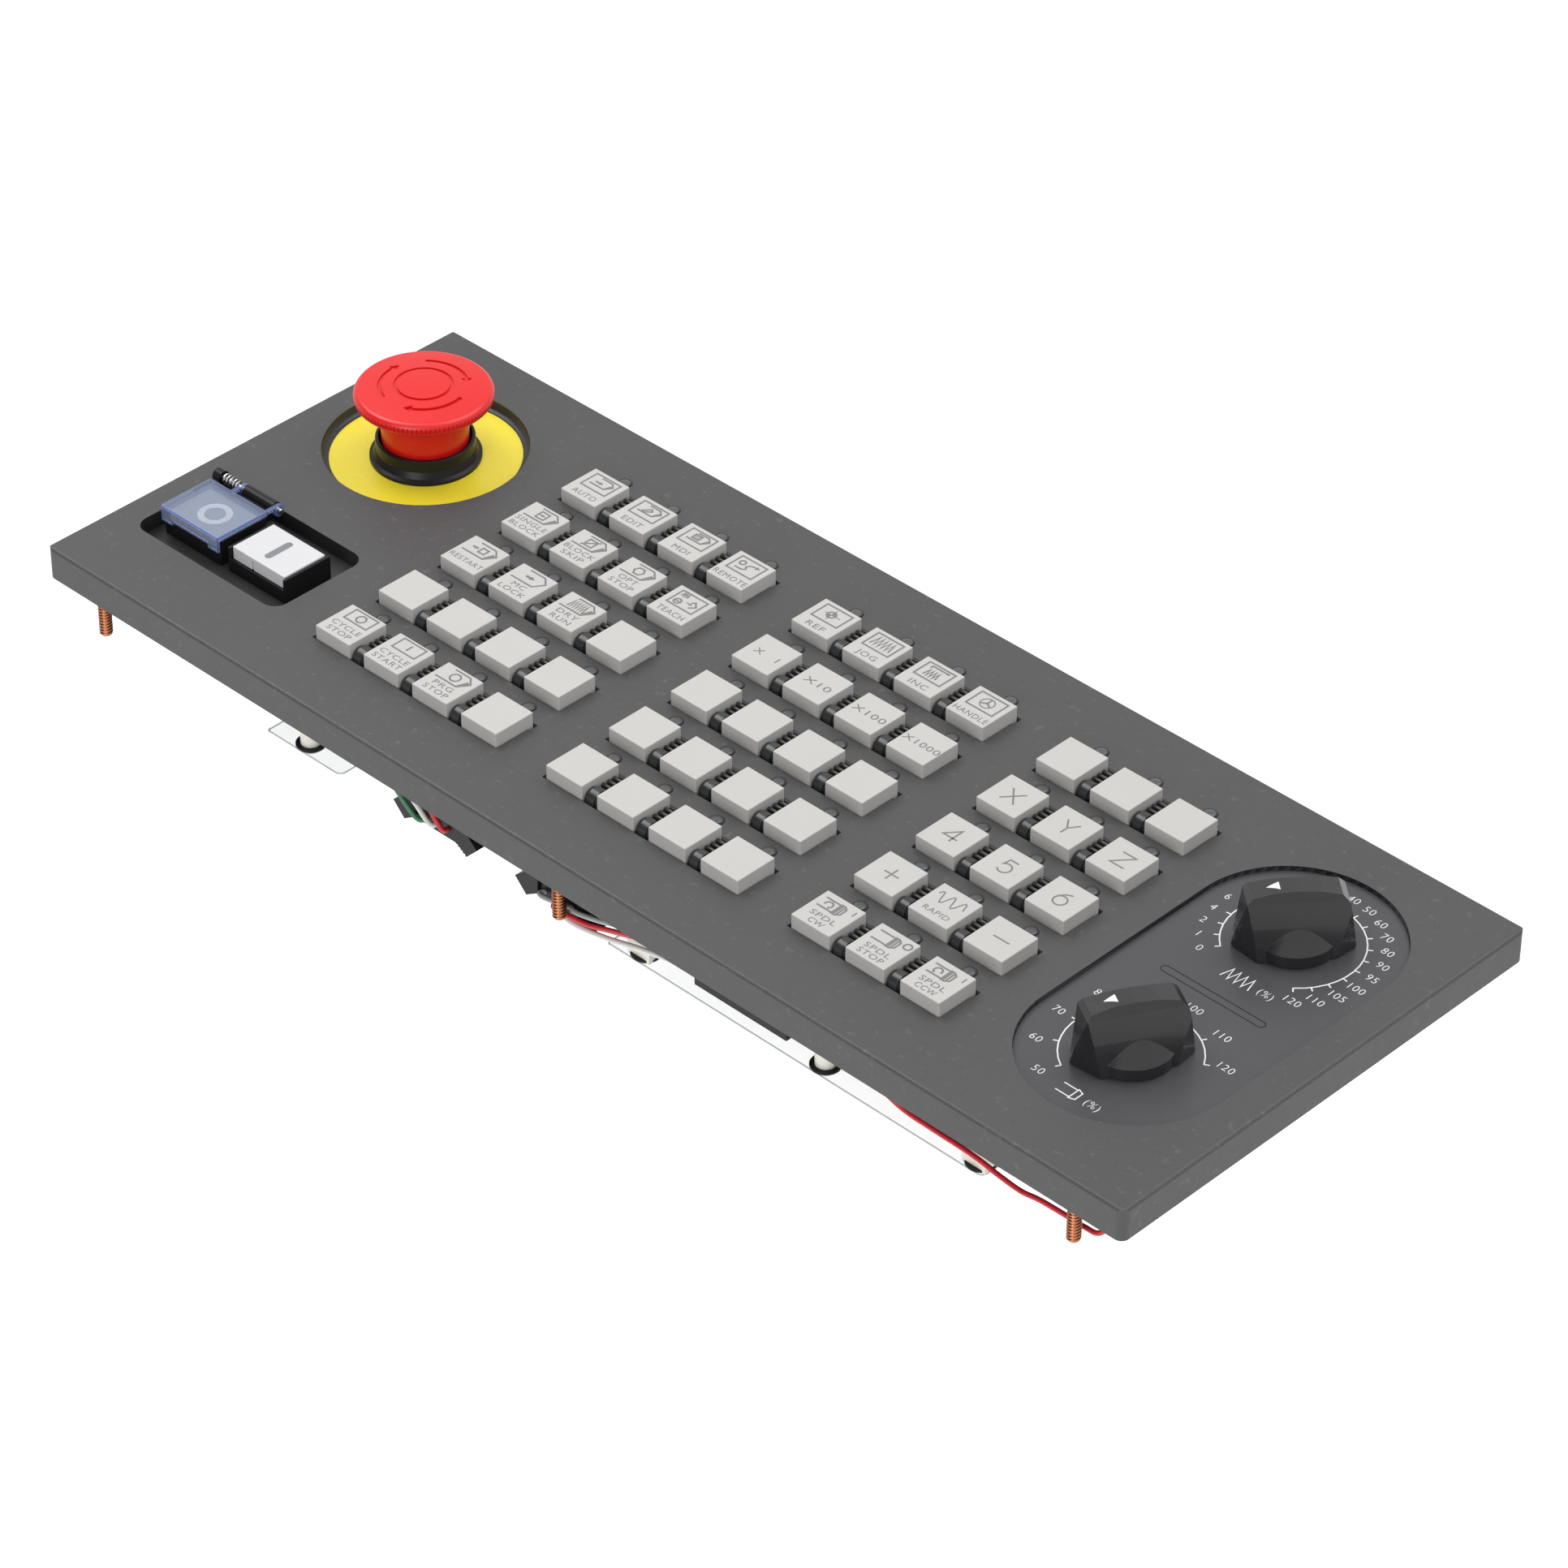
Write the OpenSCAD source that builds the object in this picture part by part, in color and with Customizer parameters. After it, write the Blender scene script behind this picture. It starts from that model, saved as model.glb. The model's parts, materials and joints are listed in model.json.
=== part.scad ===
// Machine operator's panel with emergency stop, power switches, keys and two override dials.
// Origin: centre of the rear rim plane. +X runs left to right for the operator,
// +Y up the panel, +Z out of the face.

/* [Panel] */
// Panel width, left to right (mm)
panel_w = 400; // [396:1:420]
// Panel height, bottom row to top row (mm)
panel_h = 155; // [153:1:170]
// Height of the face above the rear rim (mm)
panel_t = 10; // [9.5:0.5:11]
// Thickness of the face plate (mm)
face_t = 3.2; // [2.4:0.2:3.6]
// Thickness of the rim wall (mm)
rim_t = 3; // [2:0.5:3.5]
// Rounding of the front edge (mm)
edge_r = 1; // [0.4:0.2:2]
// Radius of the upright corners (mm)
corner_r = 2.5; // [1:0.5:6]

/* [Keys] */
// Key width (mm)
key_w = 13.5; // [12:0.1:14.5]
// Key depth (mm)
key_d = 13.8; // [12:0.1:14.2]
// Height of the key top above the face (mm)
key_rise = 4.3; // [3:0.1:6]
// Key travel (mm)
key_travel = 1.5; // [0.8:0.1:1.6]
// Column pitch (mm)
pitch_x = 19.13; // [18.8:0.01:19.2]
// Row pitch (mm)
pitch_y = 23.18; // [23:0.01:23.4]
// Clearance between a key and the guide around it (mm)
key_gap = 0.3; // [0.2:0.05:0.4]

/* [Emergency stop] */
// Radius of the mushroom head (mm)
head_r = 20; // [18:0.5:21]
// Travel of the mushroom head (mm)
stop_travel = 4.5; // [3:0.5:4.5]
// Number of grip grooves around the head
grip_count = 96; // [48:1:108]

/* [Power switches] */
// Travel of the ON and OFF buttons (mm)
power_travel = 3; // [2:0.5:3]
// Wall thickness of the clear guard (mm)
guard_t = 1.2; // [0.8:0.1:1.4]

/* [Dials] */
// Height of the knob tops above the face (mm)
knob_rise = 17.3; // [16.5:0.1:19]
// Shaft radius of the rotary switches (mm)
shaft_r = 3; // [2.5:0.25:3.5]

/* [Mounting] */
// Radius of the M4 studs, over the thread (mm)
stud_r = 1.94; // [1.5:0.01:2.4]
// Length of a stud behind the rim (mm)
stud_reach = 12.6; // [8:0.2:20]
// Spacing of the outer studs along X (mm)
stud_dx = 362.4; // [350:0.2:368]
// Spacing of the stud rows along Y (mm)
stud_dy = 147; // [146:0.5:147]

/* [Hidden] */
$fn = 48;
eps = 0.05;
face_z = panel_t;
inner_z = face_z - face_t;
far = 60;

// Key grid: one entry per legended key, as name, group, column, row from the bottom.
row_n = 5;
group_dx = 90;
group_cols = [4, 4, 3];
key_x0 = -114.4;
key_y0 = -54.3;
LEGENDED = [
    ["key_auto", 0, 0, 4], ["key_edit", 0, 1, 4],
    ["key_mdi", 0, 2, 4], ["key_remote", 0, 3, 4],
    ["key_single_block", 0, 0, 3], ["key_block_skip", 0, 1, 3],
    ["key_optional_stop", 0, 2, 3], ["key_teach", 0, 3, 3],
    ["key_restart", 0, 0, 2], ["key_machine_lock", 0, 1, 2], ["key_dry_run", 0, 2, 2],
    ["key_cycle_stop", 0, 0, 0], ["key_cycle_start", 0, 1, 0], ["key_program_stop", 0, 2, 0],
    ["key_reference", 1, 0, 4], ["key_jog", 1, 1, 4],
    ["key_increment", 1, 2, 4], ["key_handle", 1, 3, 4],
    ["key_step_1", 1, 0, 3], ["key_step_10", 1, 1, 3],
    ["key_step_100", 1, 2, 3], ["key_step_1000", 1, 3, 3],
    ["key_axis_x", 2, 0, 3], ["key_axis_y", 2, 1, 3], ["key_axis_z", 2, 2, 3],
    ["key_axis_4", 2, 0, 2], ["key_axis_5", 2, 1, 2], ["key_axis_6", 2, 2, 2],
    ["key_plus", 2, 0, 1], ["key_rapid", 2, 1, 1], ["key_minus", 2, 2, 1],
    ["key_spindle_cw", 2, 0, 0], ["key_spindle_stop", 2, 1, 0], ["key_spindle_ccw", 2, 2, 0]
];
function is_legended(g, c, r) = len([for (k = LEGENDED) if (k[1] == g && k[2] == c && k[3] == r) 1]) > 0;
function key_x(g, c) = key_x0 + group_dx * g + pitch_x * c;
function key_y(r) = key_y0 + pitch_y * r;

// Key, guide, switch and board levels.
key_top = face_z + key_rise;
guide_top = inner_z - 0.2;
guide_bottom = guide_top - 3.4;
flange_top = guide_bottom - 0.2;
flange_t = 1.2;
flange_over = 0.9;
board_top = -6.4;
board_t = 1.6;
board_bottom = board_top - board_t;
switch_top = board_top + 3.5;
stem_r = 1.8;
stem_bottom = switch_top + key_travel + 0.3;
slot_front = 0.4;
slot_back = 0.7;
slot_end = 0.3;
ledge_y = 13.8;
bridge_gap = 0.3;
bridge_w = pitch_x - key_w - 2 * bridge_gap;
wheel_y = 3.3;
wheel_z = face_z - 0.2;
wheel_r = 3.2;
rib_z = face_z + 1;
lamp_dy = 11.6;
lamp_r = 2.1;
lamp_eye_r = 1.35;

// Studs: boss round each, and the insert that holds it.
stud_boss_r = 4.2;
insert_over = 0.7;
insert_top = 6.2;

// Emergency stop.
stop_x = -161.35;
stop_y = 30.4;
stop_recess_r = 29.75;
stop_recess_d = 3;
stop_fillet = 2;
stop_plate_t = 0.8;
stop_plate_r = stop_recess_r - stop_fillet - 0.1;
stop_plate_top = face_z - stop_recess_d;
stop_floor = stop_plate_top - stop_plate_t;
stop_pad_r = 32;
stop_pad_bottom = stop_floor - 2.8;
stop_hole_r = 11.2;
barrel_r = 10.9;
collar_r = 16.1;
collar_top_r = 14.3;
collar_top = face_z + 4;
neck_bore_r = 13.4;
neck_r = 12.5;
neck_top_r = 13.1;
neck_bottom = collar_top - 1.4;
plunger_r = 6;
running = 0.06;
plunger_top = face_z + 12;
head_bottom = face_z + 16.1;
head_top = face_z + 21.4;
shoulder_r = 1.85;
shoulder_z = face_z + 18.1;
heel_r = 1.5;
dome_drop = 1.43;
ring_r = 8.05;
ring_half = 0.5;
arrow_r = 12.55;
arrow_half = 0.6;
arrow_depth = 1.25;
groove_side = 0.66;
groove_h = 3.2;
arrow_turn = 50;
block_top = -9;
plunger_tail = 6;
block_bottom = -38;

// Power pocket, switch housings and guard.
pocket_x0 = -190.6;
pocket_x1 = -132;
pocket_y0 = -53.7;
pocket_y1 = -19.8;
pocket_r = 4.5;
pocket_floor = face_z - 5;
pocket_pad = 2.6;
pocket_wall = 2.2;
power_y = -36.8;
on_x = -148.7;
off_x = -175.2;
housing_w = 23.5;
housing_h = 16.8;
housing_top = face_z + 3;
housing_body_w = 21.5;
housing_body_h = 14.8;
housing_bottom = -20;
lens_w = 21.2;
lens_h = 15.2;
lens_gap = 0.25;
notch_drop = 3.6;
stem_bottom_z = pocket_floor - 2.6;
guard_w = 23.9;
guard_h = 18.7;
guard_top = face_z + 5;
guard_skirt = face_z - 0.2;
guard_lift = 0.25;
guard_front_t = 1;
guard_front_gap = 0.3;
hinge_cap_x = [-190, -187.2];
hinge_sleeve_x = [-177.5, -165.4];
ear_x = [-179.3, -165.1];
ear_w = 1.5;
sleeve_r = 2;
pin_x0 = -190;
pin_x1 = -162.8;
pin_y = -22.9;
pin_z = face_z + 2.6;
pin_r = 0.9;
ear_r = 1.9;
spring_x0 = -186.6;
spring_x1 = -180;
spring_turns = 5;
spring_r = 1.35;
spring_wire_r = 0.3;

// Dial plate, knobs and rotary switches.
dial_x = 160;
feed_y = 32.7;
spindle_y = -29.6;
dial_r = 29.75;
dial_plate_top = face_z - 1.4;
dial_plate_t = 0.6;
dial_pad_bottom = face_z - 6;
knob_bottom = face_z - 1;
feed_angle = -130;
spindle_angle = -120;
switch_body = 25;
rotary_top = dial_pad_bottom - 0.4;
rotary_bottom = -24;
bushing_r = 4.5;

// Rear covers, spacers and connectors.
cover_top = -17;
cover_t = 1.2;
cover_y0 = -68.2;
cover_y1 = 69;
left_cover_x = [-121.5, -91];
right_cover_x = [11.5, 146];
spacer_r = 2.5;
post_y = -64.3;
bare_post_x = 88;
boss_r = 3;
boss_bore = 1.55;
pin_clear = 1.7;
board_x = [-126, 146.5];
board_y = [-66.5, 69.5];
header_x = [-52.1, -4.9];
header_half = 7.5;
header_y = [-68.5, -61.5];
header_bottom = -15;
strip_x = [47, 80];

// Places in X and Y of the bosses that carry the key board and the rear covers.
BOSSES = [
    [-107, post_y], [-76, post_y], [-28, post_y], [23, post_y], [bare_post_x, post_y], [142, post_y],
    [-107, 65], [-60, 65], [-20, 65], [23, 65], [bare_post_x, 65], [142, 65]
];

// Wire routes, as hand-set points: three from the left into the first header,
// then three out of the second header to the terminal strip and the rotary switches.
wire_r = 0.75;
WIRES = [
    [[-137.9, -37, -12], [-133, -40, -11], [-131, -52, -8.6], [-128.5, -64, -3.6], [-120, -71.2, -0.2],
     [-100, -71.8, 0.6], [-80, -71.8, 0.6], [-70, -71.5, -1], [-65, -70.8, -7], [-61, -70.4, -11],
     [-58.4, -70.2, -12.9], [-57, -69.6, -13.3], [-57, -67.9, -13.4]],
    [[-137.9, -33, -8], [-131, -38, -6], [-129.5, -54, -3.4], [-127, -65, 0.6], [-118, -72, 2.6],
     [-100, -72.4, 3.2], [-80, -72.4, 3.2], [-68, -71.8, 2.6], [-62, -71.2, -3.4], [-57, -70.6, -8.6],
     [-54, -70.3, -11.6], [-52.6, -69.7, -12.6], [-52.5, -67.9, -12.8]],
    [[-146.3, 24, -14], [-140, 20, -10], [-134, 8, -4], [-131, -10, -1], [-130, -30, -0.6],
     [-129.4, -50, 0.6], [-127, -62, 3.5], [-121, -70.5, 5], [-110, -73, 5.6], [-80, -73, 5.6],
     [-66, -72.4, 5], [-59, -71.6, 0], [-53, -70.9, -5.4], [-49.8, -70.6, -9.4],
     [-48.3, -69.9, -11.8], [-48, -67.9, -12.2]],
    [[-1, -67.9, -14.2], [-1.7, -69.6, -14.7], [-0.6, -70.3, -15.2], [3, -70.3, -15.4],
     [9, -70.4, -14.4], [17, -70.6, -12.4], [27, -70.8, -9.4], [38, -70.2, -7.4], [46.9, -68.7, -6.5]],
    [[-5.5, -67.9, -13.8], [-6.3, -69.6, -14.2], [-5, -70.2, -14.3], [-1, -70.1, -14.1],
     [7, -70.4, -12.8], [16, -70.8, -9.6], [27, -72, -5], [38, -72.6, -0.5], [50, -72.8, 1.4],
     [80, -72.8, 1.6], [100, -72.4, 0], [112, -71.4, -4.6], [121, -70.6, -8.3], [131, -70.4, -9],
     [141, -70.4, -9.2], [147, -70.6, -9.4], [153, -70.4, -10.6], [160.6, -70.3, -11.4],
     [167, -70.2, -10.6], [175, -69.6, -11], [181.2, -69.2, -11.4], [186, -69.2, -10.2],
     [188, -65, -6.5], [185, -54, -4], [180, -42, -6], [172.6, -33, -9]],
    [[-10.5, -67.9, -12.7], [-11.4, -69.6, -12.9], [-10.4, -70.2, -12.9], [-8, -70.3, -12.6],
     [-3, -69.9, -12], [0, -69.35, -11.6], [3, -70.2, -11.2], [12, -71, -8.4], [22, -72.2, -4],
     [34, -72.6, 1], [46, -72.6, 4], [90, -72.6, 4.4], [140, -72.6, 4.2], [158, -70, 3],
     [168, -62, 0], [176, -48, -2],
     [176.5, -20, -3], [176.5, 8, -4], [172.6, 26, -9]]
];

// Rounded rectangle from x0, y0 to x1, y1.
module round_rect(x0, y0, x1, y1, r) {
    translate([x0 + r, y0]) square([x1 - x0 - 2 * r, y1 - y0]);
    translate([x0, y0 + r]) square([x1 - x0, y1 - y0 - 2 * r]);
    for (x = [x0 + r, x1 - r], y = [y0 + r, y1 - r]) translate([x, y]) circle(r);
}

// Box given by its low and high corners.
module block(lo, hi) {
    translate(lo) cube(hi - lo);
}

// Upright cylinder between two levels.
module post(x, y, r, z0, z1) {
    translate([x, y, z0]) cylinder(r = r, h = z1 - z0);
}

// Two equal discs joined into a slot shape, long axis along Y.
module stadium(r, grow) {
    for (y = [feed_y, spindle_y]) translate([dial_x, y]) circle(r + grow);
    translate([dial_x - r - grow, spindle_y]) square([2 * (r + grow), feed_y - spindle_y]);
}

// Every key place, with its legended state.
module each_key(legended_only, spare_only) {
    for (g = [0:2], c = [0:group_cols[g] - 1], r = [0:row_n - 1])
        if ((!legended_only || is_legended(g, c, r)) && (!spare_only || !is_legended(g, c, r)))
            translate([key_x(g, c), key_y(r), 0]) children();
}

// Every stud place.
module each_stud() {
    for (x = [-stud_dx / 2, 0, stud_dx / 2], y = [-stud_dy / 2, stud_dy / 2])
        translate([x, y, 0]) children();
}

// Outline of the slot in the face that one row of keys sits in.
module row_slot(cols) {
    last = pitch_x * (cols - 1);
    for (c = [0:cols - 1])
        translate([pitch_x * c - slot_end, -slot_front])
            square([key_w + 2 * slot_end, key_d + slot_front + slot_back]);
    translate([0, -slot_front]) square([last + key_w, ledge_y + slot_front]);
    translate([-1.1, -slot_front]) square([1.2, 3.4]);
    translate([last + key_w - 0.1, 11.5]) square([1.1, 3]);
}

// Sloped back edge of a row slot.
module slot_chamfer(length) {
    rotate([90, 0, 90])
        linear_extrude(length)
            polygon([[ledge_y - 0.1, face_z - 1.1], [ledge_y + 1, face_z],
                [ledge_y + 1, face_z + 1], [ledge_y - 0.1, face_z + 1]]);
}

// Outer body of the panel with its rounded front edges.
module panel_blank() {
    intersection() {
        linear_extrude(panel_t) round_rect(-panel_w / 2, -panel_h / 2, panel_w / 2, panel_h / 2, corner_r);
        rotate([90, 0, 0])
            translate([0, 0, -panel_h / 2 - 1])
                linear_extrude(panel_h + 2) edge_profile(panel_w);
        rotate([90, 0, 90])
            translate([0, 0, -panel_w / 2 - 1])
                linear_extrude(panel_w + 2) edge_profile(panel_h);
    }
}

// Section of the panel blank: square at the rim, rounded at the face.
module edge_profile(span) {
    translate([-span / 2, 0]) square([span, panel_t - edge_r]);
    translate([-span / 2 + edge_r, 0]) square([span - 2 * edge_r, panel_t]);
    for (s = [-1, 1]) translate([s * (span / 2 - edge_r), panel_t - edge_r]) circle(edge_r);
}

// Recess for the ground plate: upright lip above a hollow curve.
module stop_recess() {
    rotate_extrude() {
        difference() {
            translate([0, stop_plate_top]) square([stop_recess_r, stop_recess_d + 1]);
            difference() {
                translate([stop_recess_r - stop_fillet, stop_plate_top - 1]) square([far, stop_fillet + 1]);
                translate([stop_recess_r - stop_fillet, stop_plate_top + stop_fillet]) circle(stop_fillet);
            }
        }
        translate([0, stop_floor]) square([stop_plate_r + 0.1, stop_plate_t + eps]);
    }
}

// Hollow behind the face plate, less the pads, bosses and pocket walls that stand in it.
module panel_hollow() {
    difference() {
        translate([0, 0, -1])
            linear_extrude(inner_z + 1)
                round_rect(-panel_w / 2 + rim_t, -panel_h / 2 + rim_t, panel_w / 2 - rim_t,
                    panel_h / 2 - rim_t, corner_r);
        each_stud() post(0, 0, stud_boss_r, -2, far);
        post(stop_x, stop_y, stop_pad_r, stop_pad_bottom, far);
        translate([0, 0, dial_pad_bottom]) linear_extrude(far) stadium(dial_r, 2);
        translate([0, 0, pocket_floor - pocket_pad])
            linear_extrude(far)
                round_rect(pocket_x0 - pocket_wall, pocket_y0 - pocket_wall,
                    pocket_x1 + pocket_wall, pocket_y1 + pocket_wall, pocket_r + pocket_wall);
    }
}

module front_panel() {
    color("dimgray")
    difference() {
        union() {
            difference() {
                panel_blank();
                panel_hollow();
            }
            board_bosses();
        }
        translate([stop_x, stop_y, 0]) stop_recess();
        post(stop_x, stop_y, stop_hole_r, -1, far);
        translate([0, 0, dial_plate_top - dial_plate_t]) linear_extrude(far) stadium(dial_r, 0);
        for (y = [feed_y, spindle_y]) post(dial_x, y, bushing_r + 0.2, -1, far);
        translate([0, 0, pocket_floor])
            linear_extrude(far) round_rect(pocket_x0, pocket_y0, pocket_x1, pocket_y1, pocket_r);
        for (x = [on_x, off_x])
            block([x - housing_body_w / 2 - 0.1, power_y - housing_body_h / 2 - 0.1, -1],
                [x + housing_body_w / 2 + 0.1, power_y + housing_body_h / 2 + 0.1, far]);
        for (g = [0:2], r = [0:row_n - 1])
            translate([key_x(g, 0), key_y(r), 0]) {
                translate([0, 0, inner_z - 1]) linear_extrude(far) row_slot(group_cols[g]);
                slot_chamfer(pitch_x * (group_cols[g] - 1));
            }
        each_key(false, false)
            translate([key_w / 2, key_d / 2 + lamp_dy, inner_z - 1]) cylinder(r = lamp_r + 0.1, h = far);
        each_stud() post(0, 0, stud_r + insert_over + eps, -1, insert_top + 0.3);
        for (p = BOSSES) post(p[0], p[1], boss_bore, -far, inner_z - 1);
    }
}

module board_bosses() {
    for (p = BOSSES) post(p[0], p[1], boss_r, board_top, inner_z + 1);
}

module dial_plate() {
    color("#3c3d3e")
    difference() {
        translate([0, 0, dial_plate_top - dial_plate_t + 0.01])
            linear_extrude(dial_plate_t) stadium(dial_r, -0.15);
        for (y = [feed_y, spindle_y]) post(dial_x, y, bushing_r + 0.3, -1, far);
    }
}

// Bridge between two neighbouring keys: a stepped disc and three ribs across the gap.
module bridge() {
    w = bridge_w;
    translate([key_w + bridge_gap, 0, 0]) {
        block([0, 0, guide_top - 1], [w, ledge_y - 0.5, face_z - 0.8]);
        translate([0, wheel_y, wheel_z]) rotate([0, 90, 0]) cylinder(r = wheel_r - 0.6, h = w);
        translate([1.2, wheel_y, wheel_z]) rotate([0, 90, 0]) cylinder(r = wheel_r, h = w - 2.4);
        for (n = [0:2]) {
            translate([0, 7.6 + 2 * n, rib_z]) rotate([0, 90, 0]) cylinder(r = 0.65, h = w);
            block([0, 7.1 + 2 * n, face_z - 1], [w, 8.1 + 2 * n, rib_z]);
        }
        block([0.6, 12.6, face_z - 1], [w - 0.4, ledge_y - 0.5, rib_z + 0.3]);
    }
}

module key_guides() {
    color("#1c1c1e")
    for (g = [0:2]) {
        difference() {
            union() {
                block([key_x(g, 0) - 2.4, key_y(0) - 2.4, guide_bottom],
                    [key_x(g, group_cols[g] - 1) + key_w + 2.6, key_y(4) + key_d + 8.4, guide_top]);
                for (c = [0:group_cols[g] - 2], r = [0:row_n - 1])
                    translate([key_x(g, c), key_y(r), 0]) bridge();
            }
            for (c = [0:group_cols[g] - 1], r = [0:row_n - 1])
                translate([key_x(g, c), key_y(r), 0]) {
                    block([-key_gap, -key_gap, -far], [key_w + key_gap, key_d + key_gap, far]);
                    post(key_w / 2, key_d / 2 + lamp_dy, lamp_r + 0.1, -far, far);
                }
        }
    }
}

// One key: cap, retaining flange under the guide, and stem over its switch.
module key_cap() {
    block([0, 0, flange_top - 0.2], [key_w, key_d, key_top]);
    block([-flange_over, -flange_over, flange_top - flange_t],
        [key_w + flange_over, key_d + flange_over, flange_top]);
    block([key_w / 2 - stem_r, key_d / 2 - stem_r, stem_bottom],
        [key_w / 2 + stem_r, key_d / 2 + stem_r, flange_top - flange_t + 0.1]);
}

module legended_key(k) {
    color("gainsboro") translate([key_x(k[1], k[2]), key_y(k[3]), 0]) key_cap();
}

module spare_keys() {
    color("lightgray") each_key(false, true) key_cap();
}

module lamp_windows() {
    color("slategray")
    each_key(false, false)
        translate([key_w / 2, key_d / 2 + lamp_dy, 0])
            difference() {
                post(0, 0, lamp_r, board_top + 0.02, face_z + 0.25);
                post(0, 0, lamp_eye_r, face_z - 0.1, far);
            }
}

module key_board() {
    color("darkgreen")
    difference() {
        block([board_x[0], board_y[0], board_bottom], [board_x[1], board_y[1], board_top - 0.02]);
        for (p = BOSSES) post(p[0], p[1], pin_clear, -far, far);
    }
}

module key_switches() {
    color("black")
    each_key(false, false)
        translate([key_w / 2, key_d / 2, 0]) {
            block([-5, -5, board_top], [5, 5, switch_top - 0.8]);
            post(0, 0, 3, switch_top - 0.8, switch_top);
        }
}

// Nylon spacers: a pin through the board into its boss, and a post down to the cover.
module nylon_spacers() {
    color("ivory")
    for (p = BOSSES) {
        covered = p[0] < left_cover_x[1] || p[0] > right_cover_x[0];
        low = covered ? cover_top : board_bottom - 2.4;
        post(p[0], p[1], 1.5, board_bottom - 0.1, 2);
        post(p[0], p[1], spacer_r + 0.4, low, board_bottom - 0.02);
        if (covered) post(p[0], p[1], 1.4, cover_top - cover_t - 0.8, cover_top + 0.1);
        if (covered && p[0] > 0 && p[0] != bare_post_x && p[1] < 0)
            block([p[0] - 4, p[1] - 3, cover_top], [p[0] + 4, p[1] + 3, cover_top + 8.6]);
    }
}

module cover(x) {
    difference() {
        translate([0, 0, cover_top - cover_t - 0.02])
            linear_extrude(cover_t) round_rect(x[0], cover_y0, x[1], cover_y1, 2);
        for (p = BOSSES) post(p[0], p[1], 1.5, -far, 0);
    }
}

module rear_covers() {
    color("lightcyan") {
        cover(left_cover_x);
        cover(right_cover_x);
    }
}

// Threaded studs, each with a thicker insert moulded into its boss.
module mounting_studs() {
    color("peru") each_stud() {
        post(0, 0, stud_r, -stud_reach, 0.5);
        post(0, 0, stud_r + insert_over, 0.02, insert_top);
    }
}

// Box header with an ejector latch at each end, and the cable plug inside it.
module box_header(x) {
    x0 = x - header_half;
    x1 = x + header_half;
    difference() {
        block([x0, header_y[0], header_bottom], [x1, header_y[1], board_bottom - 0.02]);
        block([x0 + 1, header_y[0] + 1, header_bottom - 1], [x1 - 1, header_y[1] - 1, board_bottom - 2]);
    }
    block([x0 + 1.2, header_y[0] + 1.2, header_bottom - 0.7],
        [x1 - 1.2, header_y[1] - 1.2, board_bottom - 2.4]);
    for (s = [0, 1]) translate([x, 0, 0]) mirror([s, 0, 0]) latch();
}

// Ejector latch: a leaning wedge with finger ribs on its inner face.
module latch() {
    translate([0, header_y[1] - 0.4, 0])
        rotate([90, 0, 0])
            linear_extrude(header_y[1] - header_y[0] + 0.5) {
                polygon([[header_half + 0.1, -8.1], [11.4, -8.1], [16.3, -12.4], [12.3, -16.5],
                    [header_half + 0.1, -13.5]]);
                for (n = [0:4]) translate([12 - 0.92 * n, -16.3 + 0.59 * n]) circle(0.35);
            }
}

module ribbon_headers() {
    color("#202022") {
        for (x = header_x) box_header(x);
        block([strip_x[0], -70.6, -10], [strip_x[1], -66.8, -3]);
    }
}

// Tube along a smooth curve through the route points.
function spline(a, b, c, d, t) =
    0.5 * (2 * b + (c - a) * t + (2 * a - 5 * b + 4 * c - d) * t * t
        + (3 * b - a - 3 * c + d) * t * t * t);
function at(p, n) = p[max(0, min(len(p) - 1, n))];
function smooth(p, k) =
    [for (n = [0:len(p) - 2], s = [0:k - 1])
        spline(at(p, n - 1), at(p, n), at(p, n + 1), at(p, n + 2), s / k),
     p[len(p) - 1]];
function unit(v) = v / norm(v);
function heading(q, n) = unit(at(q, n + 1) - at(q, n - 1));
function across(h) = abs(h[2]) < 0.9 ? unit(cross(h, [0, 0, 1])) : unit(cross(h, [1, 0, 0]));
function carried(q, n, u) = unit(u - (u * heading(q, n)) * heading(q, n));
function frames(q, n, u) = n >= len(q) ? [] : concat([carried(q, n, u)], frames(q, n + 1, carried(q, n, u)));

module tube(p, r, steps, sides) {
    q = smooth(p, steps);
    f = frames(q, 0, across(heading(q, 0)));
    rings = [for (n = [0:len(q) - 1], s = [0:sides - 1])
        q[n] + r * cos(360 * s / sides) * f[n] + r * sin(360 * s / sides) * cross(heading(q, n), f[n])];
    last = (len(q) - 1) * sides;
    polyhedron(rings, concat(
        [[for (s = [0:sides - 1]) s]],
        [[for (s = [sides - 1:-1:0]) last + s]],
        [for (n = [0:len(q) - 2], s = [0:sides - 1])
            [n * sides + s, (n + 1) * sides + s,
                (n + 1) * sides + (s + 1) % sides, n * sides + (s + 1) % sides]]
    ));
}

module signal_wires() {
    color("firebrick") for (w = WIRES) tube(w, wire_r, 2, 8);
}

module stop_ground_plate() {
    color("gold")
    difference() {
        post(stop_x, stop_y, stop_plate_r, stop_floor + 0.01, stop_plate_top);
        post(stop_x, stop_y, stop_hole_r, -1, far);
    }
}

module stop_collar() {
    color("#202022")
    translate([stop_x, stop_y, 0]) rotate_extrude()
        polygon([
            [plunger_r + 0.3, -8.5], [barrel_r, -8.5], [barrel_r, stop_plate_top + 0.02],
            [collar_r, stop_plate_top + 0.02], [collar_r, stop_plate_top + 1],
            [collar_top_r + 0.9, stop_plate_top + 1.6], [collar_top_r, stop_plate_top + 3.4],
            [collar_top_r, collar_top - 0.4], [collar_top_r - 0.4, collar_top],
            [neck_bore_r, collar_top], [neck_bore_r, stop_plate_top + 0.8],
            [plunger_r + 0.3, stop_plate_top + 0.8]
        ]);
}

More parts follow.
